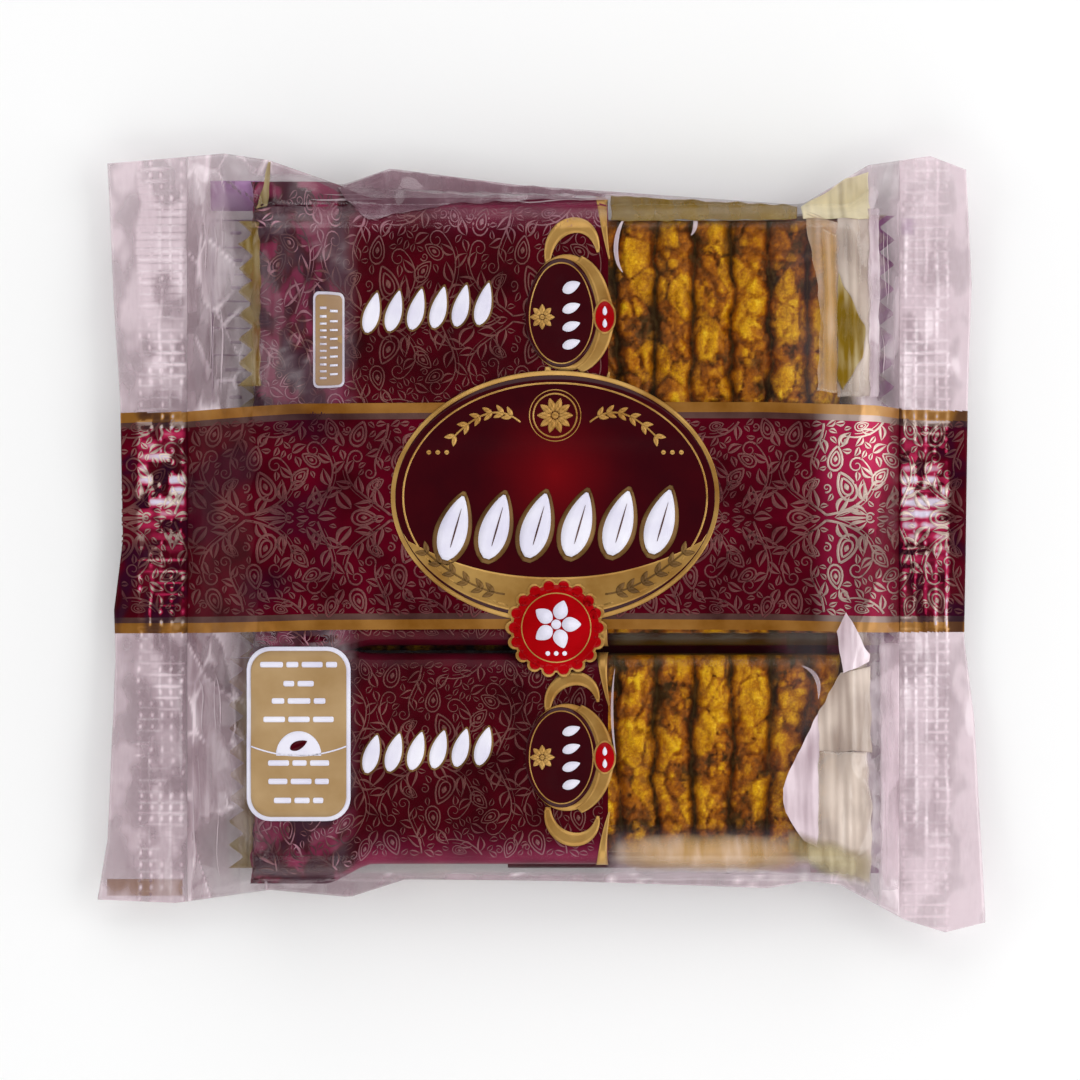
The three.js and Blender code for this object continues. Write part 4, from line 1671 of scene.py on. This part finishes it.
# %% Fold the loose film
FOLD_GAP = 0.15  # between the film and the lowest fold
FOLD_THICKNESS = 0.04
FOLD_COLUMNS = 32
TOOTH_PITCH = 4.2
TEETH_X = (-54.3, -51.6)  # the tips and the roots of the upper bar's teeth


def walk(corners, count):
    """Points at even steps along straight lines from corner to corner."""
    corners = np.array(corners, float)
    length = np.concatenate([[0], np.cumsum(np.hypot(*np.diff(corners, axis=0).T))])
    at = np.linspace(0, length[-1], count)
    return np.stack([np.interp(at, length, corners[:, k]) for k in (0, 1)], 1)


def lay_folds(name, material, folds):
    """Thin patches on the film. Each fold: its lower corners, its upper corners, haze, whiteness, how far
    it lies above the lowest fold, and how softly its haze fades towards its sides, 0 for a firm edge. Noise
    stretched along Y makes it uneven."""
    parts, milk, white = [], [], []
    for index, (low, high, haze_share, white_share, out, soft) in enumerate(folds):
        count = 6 * max(8, len(low), len(high))
        low, high = walk(low, count), walk(high, count)
        share = np.linspace(0, 1, FOLD_COLUMNS)[None, :]
        shape = low[:, None] + (high - low)[:, None] * share[..., None]
        x, y = shape[..., 0], shape[..., 1]
        x, y = x + 0.35 * noise(x / 3, y / 3, 76 + index), y + 0.35 * noise(x / 3, y / 3, 77 + index)
        rise = out + FOLD_GAP + 0.10 * noise(x / 4, y / 7, 80 + index)
        parts.append(shell(on_film(x, y, rise + FOLD_THICKNESS), on_film(x, y, rise)))
        marks = 0.5 * noise(x / 0.9 + y / 40, y / 16, 90 + index) + 0.6 * noise(x / 4, y / 7, 91 + index)
        run = np.linspace(0, 1, count)[:, None]
        fade = 1 - soft * (1 - np.sin(np.pi * run) ** 0.5 * np.sin(np.pi * share) ** 1.5)
        milk.append(np.tile((haze_share * (1 + 0.4 * marks) * fade).ravel(), 2))
        white.append(np.tile((white_share + 0.5 * marks).ravel(), 2))
    points, faces = join(parts)
    milk, white = np.clip(np.concatenate(milk), 0, 0.9), np.clip(np.concatenate(white), 0, 1)
    whole = piece(name, points, faces, [material], None, {"haze": milk, "white": white})
    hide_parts("bag")


teeth = [(TEETH_X[k % 2], 57.5 - k * TOOTH_PITCH / 2) for k in range(15)]
lay_folds("folds_yellow", wrapper_clear, [
    ([(53.0, 29.1), (54.0, 27.3), (57.4, 32.9), (58.1, 38.2)], [(53.0, 48.3), (58.1, 38.6)],
     0.80, 0.02, 0.35, 0.0),
    ([(46.6, 58.2), (58.9, 58.2)], [(46.6, 60.3), (52.0, 63.4), (55.0, 65.6), (58.9, 66.6)],
     0.74, 1.0, 0.2, 0.3),
    ([(12.6, 57.6), (46.0, 58.0)], [(12.6, 62.6), (46.0, 60.6)], 0.66, -0.25, 0.15, 0.1),
    (teeth, [(-50.4, 57.5), (-50.2, 28.1)], 0.34, 0.0, 0.25, 0.0),
    ([(44.0, -56.0), (52.0, -60.6), (59.5, -62.6)], [(44.0, -51.0), (52.0, -53.0), (59.5, -55.4)],
     0.62, 0.55, 0.60, 1.0),
    ([(-49.4, 68.4), (-51.2, 60.0)], [(-48.9, 68.5), (-49.2, 60.6)], 0.6, 0.3, 0.3, 0.0),
])
lay_folds("folds_amber", amber_film, [
    ([(47.2, 59.5), (48.1, 52.7), (49.7, 45.5), (50.0, 38.3), (49.3, 27.1)], [(52.9, 57.4), (52.9, 27.0)],
     0.30, 0.60, 0.2, 0.1),
    ([(50.2, 56.0), (50.6, 45.5), (50.4, 27.1)], [(52.9, 55.4), (52.9, 27.0)], 0.52, 0.30, 0.4, 0.6),
    ([(11.5, -60.6), (50.0, -60.6)], [(11.5, -50.5), (48.0, -50.5)], 0.58, 0.35, 0.3, 1.4),
])
# Pale film at the right end. Its white is partly painted highlight, where the film faces the right lamp.
lay_folds("folds_pale_and_highlights", pale_film, [
    ([(52.9, 26.2), (59.0, 26.2)], [(52.9, 58.2), (59.0, 58.7)], 0.38, 0.70, 0.15, 0.2),
    ([(53.5, -23.3), (49.5, -30.5), (49.5, -37.4)], [(58.9, -21.9), (59.2, -37.4)], 0.66, 0.40, 0.35, 0.1),
    ([(49.6, -37.5), (49.6, -54.6), (55.6, -59.5)], [(58.5, -37.5), (59.2, -50.0), (58.9, -61.2)],
     0.80, 0.85, 0.50, 0.6),
])
# The white patches at the right end are painted highlight. The mauve flaps at the top are folded film.
lay_folds("folds_clear_and_highlights", film_clear, [
    ([(-36.5, 64.2), (-35.3, 61.7), (-30.4, 57.7), (-25.7, 59.1), (-14.0, 61.2), (6.0, 62.2)],
     [(-36.5, 64.3), (-14.0, 62.6), (6.0, 62.6)], 0.42, 0.0, 0.2, 0.2),
    ([(-35.5, 63.8), (11.5, 62.5)], [(-35.5, 64.4), (-34.4, 64.7), (-27.2, 67.2), (-3.8, 64.2), (11.5, 63.0)],
     0.42, 0.0, 0.2, 0.0),
    ([(49.5, -30.5), (46.1, -37.4), (43.2, -44.0), (43.6, -48.1), (46.8, -53.2), (49.5, -54.6)],
     [(49.6, -30.4), (49.7, -54.8)], 0.86, 0.84, 0.4, 0.0),
    ([(52.6, -15.7), (53.5, -20.2), (54.0, -23.3)], [(54.7, -12.5), (58.7, -20.2), (58.5, -21.5)],
     0.80, 0.90, 0.6, 0.0),
    ([(58.6, 60.0), (58.8, 26.0)], [(60.6, 60.0), (60.6, 26.0)], 0.45, 0.75, 0.25, 0.3),
    ([(60.8, -18.0), (61.0, -62.5)], [(64.4, -18.0), (64.4, -62.5)], 0.30, 1.0, 0.25, 0.5),
])

# %% [markdown]
# ## Painted wrinkle highlights
#
# A sharp wrinkle shows as a bright hair line that starts and ends in nothing. It is far narrower than the
# film's own faces, so the highlight is painted: each one is a narrow ribbon of white milky film that
# tapers at both ends.

# %% Paint wrinkle highlights on the loose film
WRINKLE_STEPS = 26
WRINKLE_HEIGHT = 0.17
WRINKLE_HIGHLIGHT_WHITE = 0.9
WRINKLE_HIGHLIGHT_HAZE = 0.35
WRINKLE_HOLD = ((-63, -60), (64, 64))  # the low and the high corner of where wrinkles may be
GLINTS = (  # each with four control points, its half-width and its haze
    ([(15.4, 58.8), (12.8, 55.5), (12.9, 50.5), (14.6, 48.4)], 0.4, 0.45),
    ([(26.8, 60.0), (28.0, 58.5), (27.8, 56.0), (26.8, 55.0)], 0.4, 0.4),
    ([(13.2, -22.5), (12.4, -28.0), (12.6, -34.0), (13.4, -38.0)], 0.22, 0.4),
    ([(46.6, -22.0), (49.4, -23.0), (50.0, -25.0), (49.6, -28.0)], 0.4, 0.3),
)


def lay_wrinkles(name, wrinkles):
    """Narrow ribbons of painted highlight, their half-width a flattened sine of the way along. Each
    wrinkle: four control points of its curve, its half-width and its haze."""
    parts, milk = [], []
    for points, half, haze_share in wrinkles:
        taper = half * np.sin(np.linspace(0.05, np.pi - 0.05, WRINKLE_STEPS)) ** 0.8
        path = bezier(points, WRINKLE_STEPS)
        shape = ribbon(path, taper, 4)
        x, y = shape[..., 0], shape[..., 1]
        parts.append(shell(on_film(x, y, WRINKLE_HEIGHT + INK), on_film(x, y, WRINKLE_HEIGHT)))
        milk.append(np.full(2 * x.size, haze_share))
    points, faces = join(parts)
    even = np.full(len(points), WRINKLE_HIGHLIGHT_WHITE)
    whole = piece(name, points, faces, [film_clear], None,
                  {"haze": np.concatenate(milk), "white": even})
    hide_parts("bag")


def wrinkle_highlight_places():
    """Seeded curves of painted highlight: upright ones near both ends, clear of the band, and a few glints
    along the windows.
    """
    rng = np.random.default_rng(5)
    (least_x, least_y), (most_x, most_y) = WRINKLE_HOLD
    places = []
    for low_x, high_x, count in ((-62.6, -57.0, 7), (60.5, 64.0, 4)):
        for low_y, high_y in ((-58, -20), (28, 62)):
            for _ in range(count):
                x = rng.uniform(low_x, high_x)
                y = rng.uniform(low_y + 4, high_y - 4)
                long = rng.uniform(3, 9)
                bend = rng.uniform(-1.0, 1.0, 3)
                offsets = zip((0, *bend), (-long, -long / 3, long / 3, long))
                curve = [(min(max(x + aside, least_x), most_x), min(max(y + up, least_y), most_y))
                         for aside, up in offsets]
                places.append((curve, rng.uniform(0.05, 0.16), WRINKLE_HIGHLIGHT_HAZE))
    for _ in range(16):
        x = rng.uniform(-40, 44)
        at_top = x < 20
        y = rng.uniform(61.5, 63.0) if at_top else -59.6
        tilt = rng.uniform(-1, 0.2) if at_top else rng.uniform(-0.3, 0.6)
        long = rng.uniform(3, 9)
        curve = [(x - long, y), (x - long / 3, y + tilt), (x + long / 3, y - tilt), (x + long, y)]
        places.append((curve, rng.uniform(0.06, 0.2), WRINKLE_HIGHLIGHT_HAZE))
    return [*places, *GLINTS]


lay_wrinkles("wrinkles", wrinkle_highlight_places())

# %% [markdown]
# ## The medallion
#
# In the middle of the band sits an oval medallion, dark red with a gold rim and a gold crescent at its
# foot, and over its foot a round red badge. Across it leans a row of six white almonds, one for each bar
# in the pack. Everything is built up in layers, each a hair above the one before, as inks are printed.

# %% Draw the marks
MEDALLION = (2.5, 8.2)
MEDALLION_HALF = (28.6, 21.8)
BADGE = (2.7, -15.2)
BADGE_RADIUS = 7.7
ALMONDS = 6
ALMOND_TILT = math.radians(74)


def oval(x, y, half_x, half_y, across=8, count=40):
    """A filled oval: at each x the points between the two arcs, the columns crowded at both ends."""
    t = np.linspace(0.04, np.pi - 0.04, count)
    return between(-half_x * np.cos(t), -half_y * np.sin(t), half_y * np.sin(t), across) + [x, y]


def ring(x, y, half_x, half_y, half, count=97):
    """A line round an oval."""
    t = np.linspace(0, 2 * np.pi, count)
    return ribbon(np.stack([half_x * np.cos(t), half_y * np.sin(t)], 1), half) + [x, y]


def almond(x, y, angle, length, half, across=4):
    """A blunt drop: half-width as the sine of the way along, fuller towards one end."""
    t = np.linspace(0.015, 0.985, 15)
    path = np.stack([(t - 0.5) * length, 0 * t], 1)
    return moved(ribbon(path, half * np.sin(np.pi * t**0.78) ** 0.75, across), x, y, angle)


def block(low_x, high_x, low_y, high_y, step=1.5):
    """A rectangle, in cells of about step."""
    x = np.linspace(low_x, high_x, int((high_x - low_x) / step) + 2)
    return between(x, np.full_like(x, low_y), np.full_like(x, high_y), int((high_y - low_y) / step) + 1)


def round_block(x, y, half_x, half_y, corner, across=16):
    """A rectangle with quarter-circle corners: its half-height shrinks within corner of both ends."""
    turn = np.linspace(0.05, np.pi / 2, 8)
    left = -half_x + corner * (1 - np.cos(turn))
    places = np.concatenate([left, np.linspace(-half_x + corner, half_x - corner, 12)[1:-1], -left[::-1]])
    into = np.clip((corner - (half_x - abs(places))) / corner, 0, 1)
    high = half_y - corner * (1 - np.sqrt(1 - into**2 + 1e-6))
    return between(places, -high, high, across) + [x, y]


def flower(x, y, size, petals, fat=0.34):
    """Petals round a small heart."""
    out, length, half = 0.62 * size, 0.8 * size, fat * size
    turns = 2 * np.pi * np.arange(petals) / petals
    shapes = [almond(x + out * math.cos(a), y + out * math.sin(a), a, length, half, 1) for a in turns]
    return [*shapes, oval(x, y, 0.2 * size, 0.2 * size, 2, 10)]


def sprig(points, leaves, length):
    """A stem with pairs of leaves, in the manner of laurel."""
    path = bezier(points, 24)
    step = np.gradient(path, axis=0)
    heading = np.arctan2(step[:, 1], step[:, 0])
    shapes = [ribbon(path, 0.16)]
    for k in np.linspace(3, 22, leaves).astype(int):
        for side in (-1, 1):
            turn = heading[k] + side * 0.62
            middle = path[k] + 0.5 * length * np.array([math.cos(turn), math.sin(turn)])
            shapes.append(almond(*middle, turn, length, 0.22 * length, 1))
    return shapes


def almond_row(x, y, pitch, slope, length, half, across=4):
    """Almonds side by side, leaning, on a line that climbs by slope."""
    places = (np.arange(ALMONDS) - (ALMONDS - 1) / 2) * pitch
    return [almond(x + k, y + slope * k, ALMOND_TILT, length, half, across) for k in places]


print("a flower of five petals has", len(flower(0, 0, 1, 5)), "shapes")

# %% [markdown]
# ## Inks in layers
#
# Where two flat shapes share a height they flicker in the render, so every ink has a level, counted in
# hairs above the film. The medallion's ground is dark red with a warm glow behind the almonds, a colour
# that changes with the distance from a point.

# %% Lay inks in layers
class Layers:
    """Shapes sorted by ink, each at its own height, gathered into one printed piece per ink."""

    def __init__(self, name, place, slots):
        self.name = name
        self.place = place
        self.slots = slots
        self.parts = {}

    def add(self, ink, level, shapes):
        """Lays shapes in an ink, level hairs above the surface."""
        self.parts.setdefault(ink, []).extend(lay(shapes, self.place, HAIR * level))

    def finish(self):
        for ink, parts in self.parts.items():
            print_parts(f"{self.name}_{ink}", parts, INKS[ink])


def plaque_finish():
    """Dark red, with a warm glow behind the almonds that fades with the distance from the middle."""
    recipe = Recipe("plaque_ink", Coat_Roughness=0.08, Coat_Weight=0.3, Roughness=0.3, Specular_IOR_Level=0.1,
                    Coat_IOR=1.42)
    centre = Vector((MEDALLION[0], MEDALLION[1] + 4.0, PACK_TOP))
    away = recipe.node("ShaderNodeVectorMath", {"operation": "DISTANCE"}, recipe.at(), centre, output="Value")
    glow = (1 - away * (1 / 15)).held() ** 1.5
    drift = recipe.grain(5.0, 3.0)
    recipe.set("Base Color", recipe.mix((glow * 0.8 + drift * 0.15).held(), srgb(42, 1, 8), srgb(116, 5, 12)))
    recipe.bump(drift, 0.02)
    return recipe.material


INKS["dark"] = plaque_finish()
SLOTS = {"gold": "gold_print", "white": "white_print"}
print(len(INKS), "inks with the medallion's ground")

# %% [markdown]
# ## Print the medallion
#
# The crescent is the space between the oval's lower arc and a flatter one. Along it run sprigs of laurel,
# and over it a flower between two more. The badge's edge is scalloped, by small discs all round it.

# %% Print the medallion
ALMOND_PITCH = 7.4
ALMOND_SLOPE = 0.03
SCALLOPS = 18


def print_medallion():
    """Oval, crescent, sprigs, flower, almonds and badge, from the lowest layer to the top."""
    layers = Layers("medallion", on_film, SLOTS)
    add = layers.add
    cx, cy = MEDALLION
    a, b = MEDALLION_HALF
    add("gold", 2, [oval(cx, cy, a + 0.8, b + 0.8, 40, 80)])
    add("dark", 3, [oval(cx, cy, a, b, 40, 80)])
    x = np.linspace(-0.95, 0.95, 60)
    inner = -b * (0.66 - 0.36 * abs(x) ** 2.2)
    arc = -b * np.sqrt(1 - x**2)
    crescent = between(x * a, arc * 0.97, np.maximum(inner, arc * 0.96), 14)
    add("gold", 4, [crescent + [cx, cy], ring(cx, cy, a - 1.4, b - 1.4, 0.16)])
    foot, top = [], flower(0, 14.6, 3.2, 10, 0.2)
    top += [ring(0, 14.6, 3.9, 3.9, 0.14, 49), ring(0, 14.6, 4.6, 4.6, 0.08, 49)]
    for side in (-1, 1):
        stem = [(side * 9, -17.4), (side * 14, -16.8), (side * 19, -13.5), (side * 23.4, -9.6)]
        foot += sprig(stem, 6, 2.3)
        top += sprig([(side * 6.2, 13.4), (side * 10, 16.6), (side * 14, 15.2), (side * 18.5, 10.4)], 6, 2.0)
        top += [oval(side * 21.0 + k, 8.0, 0.42, 0.42, 2, 8) for k in (-1.6, 0, 1.6)]
    add("brown", 5, [shape + [cx, cy] for shape in foot])
    add("gold", 4, [shape + [cx, cy] for shape in top])
    row_x, row_y = cx + 0.4, cy - 5.0
    add("brown", 4, almond_row(row_x, row_y, ALMOND_PITCH, ALMOND_SLOPE, 14.0, 3.35))
    add("white", 6, almond_row(row_x, row_y, ALMOND_PITCH, ALMOND_SLOPE, 12.2, 2.55))
    add("silver", 7, almond_row(row_x + 0.35, row_y, ALMOND_PITCH, ALMOND_SLOPE, 7.5, 0.14, 1))
    bx, by = BADGE
    r = BADGE_RADIUS
    edge = 2 * np.pi * np.arange(SCALLOPS) / SCALLOPS
    add("gold", 6, [oval(bx, by, r + 0.5, r + 0.3, 14)])
    add("gold", 6, [oval(bx + (r + 0.15) * math.cos(t), by + r * math.sin(t), 1.25, 1.25, 4, 14)
                    for t in edge])
    add("red", 7, [oval(bx, by, r, r, 14)])
    add("red", 7, [oval(bx + (r - 0.2) * math.cos(t), by + (r - 0.2) * math.sin(t), 1.0, 1.0, 4, 14)
                   for t in edge])
    add("gold", 8, [ring(bx, by, r - 1.5, r - 1.5, 0.1, 49)])
    add("white", 8, flower(bx, by + 0.6, 4.4, 5, 0.3))
    add("white", 8, [oval(bx + k, by - 4.6, 0.42, 0.42, 2, 8) for k in (-1.5, 0, 1.5)])
    layers.finish()


print_medallion()

# %% [markdown]
# ## The label
#
# Low on the left the bag carries a beige panel with a white rim, where such packs list what is in them.
# Rows of short white dashes stand in for its words, and a white half-disc with an almond in it for its
# figure.

# %% Print the label
DASH_ROWS = ((12.4, 15.0), (9.0, 8.0), (5.9, 11.5), (2.6, 13.0), (-5.2, 13.5), (-8.5, 12.0), (-11.9, 13.5))
FIGURE_RADIUS = 4.1


def dashes(x, y, width, height, seed):
    """A row of short blocks of random widths, centred."""
    rng = np.random.default_rng(seed)
    widths = rng.uniform(1.6, 4.2, int(width / 3.4))
    ends = np.cumsum(widths + 0.6)
    start = x - ends[-1] / 2
    return [round_block(start + end - w / 2 - 0.3, y, w / 2, height / 2, 0.3, 2)
            for end, w in zip(ends, widths)]


def print_label():
    """A rounded panel in a rim, a curved line, a half-disc, and rows of dashes."""
    layers = Layers("label", on_film, SLOTS)
    add = layers.add
    lx, ly = LABEL
    a, b = LABEL_HALF
    add("white", 2, [round_block(lx, ly, a, b, 4.2, 24)])
    add("beige", 6, [round_block(lx, ly, a - 0.75, b - 0.75, 3.6, 24)])
    x = np.linspace(-a + 0.8, a - 0.8, 24)
    add("white", 7, [ribbon(np.stack([lx + x, ly - 1.9 - 2.0 * (1 - (x / a) ** 2)], 1), 0.13)])
    t = np.linspace(-0.98, 0.98, 24)
    dome = between(lx + FIGURE_RADIUS * t, ly - 3.9 + 0 * t, ly - 3.9 + 4.4 * np.sqrt(1 - t**2), 6)
    add("white", 7, [dome])
    add("maroon", 8, [almond(lx, ly - 2.0, math.radians(25), 3.4, 0.8, 2)])
    for row, (y, width) in enumerate(DASH_ROWS):
        add("white", 7, dashes(lx, ly + y, width, 1.0, 10 + row))
    layers.finish()


print_label()

# %% [markdown]
# ## The wraps' marks
#
# Every upper wrap has the bag's artwork again, small and simple, drawn by the same helpers on the wrap
# instead of the film.

# %% Print the wraps' marks
WRAP_ALMOND_PITCH = 4.0
WRAP_ALMOND_SLOPE = 0.07


def print_wrap_marks(bar):
    """The small marks of one upper wrap: almonds, a little medallion and badge, gold ribbons, a beige
    label."""

    def on_this(x, s, out):
        """The point of the wrap, and on the crumpled end a little higher, to clear its buckles."""
        return wrap(bar, x, s, out + END_RISE * smooth((-33 - x) / 3) * (bar[1] != 1))

    layers = Layers(f"mark_{bar[1]}", on_this, SLOTS)
    add = layers.add
    row = (-20.3, 1.6, WRAP_ALMOND_PITCH, WRAP_ALMOND_SLOPE)
    add("brown", 2, almond_row(*row, 8.0, 1.8))
    add("white", 3, almond_row(*row, 7.2, 1.4))
    swell = np.sin(np.linspace(0.25, np.pi - 0.1, 24))
    hook = bezier([(1.2, 8.6), (0.8, 15.2), (9.6, 16.8), (10.2, 10.2)], 24)
    tail = bezier([(11.0, 21.5), (10.8, 17.5), (11.2, 13.5), (12.2, 9.5)], 24)
    sweep = [ribbon(hook, 1.25 * swell**0.7, 3), ribbon(tail, np.linspace(1.2, 0.15, 24), 3)]
    add("gold", 3, [*sweep, *(mirrored(shape) for shape in sweep)])
    t = np.linspace(-1.25, 1.25, 30)
    outer = np.stack([4.6 + 8.4 * np.cos(t), 10.2 * np.sin(t)], 1)
    inner = np.stack([4.4 + 6.0 * np.cos(t), 9.2 * np.sin(t)], 1)
    moon = inner[:, None] + (outer - inner)[:, None] * np.linspace(0, 1, 5)[:, None]
    add("gold", 5, [moon[:, ::-1]])
    add("gold", 4, [oval(4.6, 0.3, 7.4, 9.6, 16)])
    add("dark", 6, [oval(3.6, 0.3, 6.4, 9.0, 16)])
    add("gold", 7, [ring(3.6, 0.3, 5.7, 8.3, 0.1), *flower(0.2, 0.3, 2.2, 8, 0.24)])
    small = [almond(5.4, 0.3 + k, math.radians(20), 3.4, 0.85, 1) for k in (-4.8, -1.6, 1.6, 4.8)]
    add("white", 7, small)
    add("gold", 7, [oval(11.4, 0.3, 2.0, 3.1, 6, 24)])
    add("red", 8, [oval(11.4, 0.3, 1.7, 2.7, 6, 24)])
    add("white", 9, [almond(11.4, 0.3 + k, math.radians(90), 1.6, 0.4, 1) for k in (-1.1, 1.1)])
    if bar[1] == 0:  # on the other bars this label lies under the band and under the bag's own label
        add("white", 2, [round_block(-38.0, -4.0, 2.8, 7.7, 0.9, 28)])
        add("beige", 5, [round_block(-38.0, -4.0, 2.4, 7.3, 0.7, 28)])
        add("white", 7, [block(-39.6, -38.4, k, k + 0.35, 1.0) for k in np.arange(-10.2, 2.4, 1.15)])
        add("white", 7, [block(-37.8, -36.4, k, k + 0.35, 1.0) for k in np.arange(-9.6, 2.4, 1.5)])
    layers.finish()


for bar in BARS[3:]:
    print_wrap_marks(bar)

# %% [markdown]
# ## The back's print
#
# The back of the bag carries a purple heading and a ruled table. From above, both show faintly through
# the film at the left, between the seal and the bars.

# %% Print the back
RULED = (-59.4, 24.0, 22.0, 59.7)  # the table's low X and Y, then its high X and Y
RULE = 0.28  # width of a line


def print_back():
    """A heading, a ruled table with dashes in it, and two small blocks in the seals."""

    def under_film(x, y, out):
        """On the inner side of the back's film."""
        return np.stack([x, y, film_under(x, y) + out], -1)

    def under_seal(x, y, out):
        """Between the two layers of a seal."""
        return np.stack([x, y, seal_top(x, y) - 2 * FILM + out], -1)

    layers = Layers("back", under_film, SLOTS)
    low_x, low_y, high_x, high_y = RULED
    layers.add("purple", 1, [block(-59.6, -50.5, 59.9, 65.2, 1.0)])
    rows = [block(low_x, high_x, y, y + RULE, 1.0) for y in np.linspace(low_y, high_y - 1.6, 8)]
    columns = [block(x, x + RULE, low_y, high_y - 1.6, 1.2) for x in (low_x, -30.0, -8.0, high_x - RULE)]
    marks = [shape for k, y in enumerate(np.linspace(low_y, high_y - 6.0, 7))
             for shape in dashes(-55.2, y + 2.3, 5.0, 0.6, 30 + k)]
    layers.add("faint", 1, [*rows, *columns, *marks])
    layers.finish()
    ends = Layers("back_seal", under_seal, SLOTS)
    ends.add("beige", 1, [block(-78.2, -64.6, -63.6, -60.6, 0.7)])
    ends.add("purple", 1, [block(64.8, 67.6, 55.5, 58.4, 0.7)])
    ends.finish()


print_back()

# %% [markdown]
# ## Floor and light
#
# The floor is plain and nearly white. A lamp overhead would lay one white sheet over the whole film. So
# four large soft lamps stand low round the pack: film that tilts shines, and film that faces straight up
# mirrors the dark space above and keeps its colour.

# %% Set the floor and the lamps
LAMP_SIZE = 1.2
LAMP_AWAY = 0.95
LAMP_HEIGHT = 0.62
LAMP_POWER = 7.7
SKY = 0.07
FLOOR_HALF = 4.0  # metres
FLOOR_GREYS = (0.93, 0.96)


def lay_floor():
    """One large square, its grey slightly uneven."""
    mesh = bpy.data.meshes.new("floor")
    side = FLOOR_HALF
    corners = [(-side, -side, 0), (side, -side, 0), (side, side, 0), (-side, side, 0)]
    mesh.from_pydata(corners, [], [(0, 1, 2, 3)])
    recipe = Recipe("floor", Roughness=0.9)
    tone = recipe.grain(300.0)
    dim, bright = ((grey, grey, grey, 1) for grey in FLOOR_GREYS)
    recipe.set("Base Color", recipe.mix(tone, dim, bright))
    mesh.materials.append(recipe.material)
    floor = bpy.data.objects.new("floor", mesh)
    bpy.context.scene.collection.objects.link(floor)


def hang_lamp(name, angle, power):
    """A square soft lamp at LAMP_AWAY from the pack, turned to face it."""
    data = bpy.data.lights.new(name, "AREA")
    data.size = LAMP_SIZE
    data.energy = power
    lamp = bpy.data.objects.new(name, data)
    lamp.location = (LAMP_AWAY * math.cos(angle), LAMP_AWAY * math.sin(angle), LAMP_HEIGHT)
    lamp.rotation_euler = (-lamp.location).to_track_quat("-Z", "Y").to_euler()
    bpy.context.scene.collection.objects.link(lamp)


lay_floor()
for name, degrees, share in (("right", 0, 1.35), ("left", 180, 0.8), ("far", 90, 1.0), ("near", 270, 0.95)):
    hang_lamp(f"lamp_{name}", math.radians(degrees), LAMP_POWER * share)
world = bpy.data.worlds.new("studio")
world.use_nodes = True
world.node_tree.nodes["Background"].inputs["Color"].default_value = (1, 1, 1, 1)
world.node_tree.nodes["Background"].inputs["Strength"].default_value = SKY
bpy.context.scene.world = world
bpy.context.scene.view_settings.view_transform = "Standard"
bpy.context.scene.cycles.transparent_max_bounces = 24

# %% [markdown]
# ## Finish
#
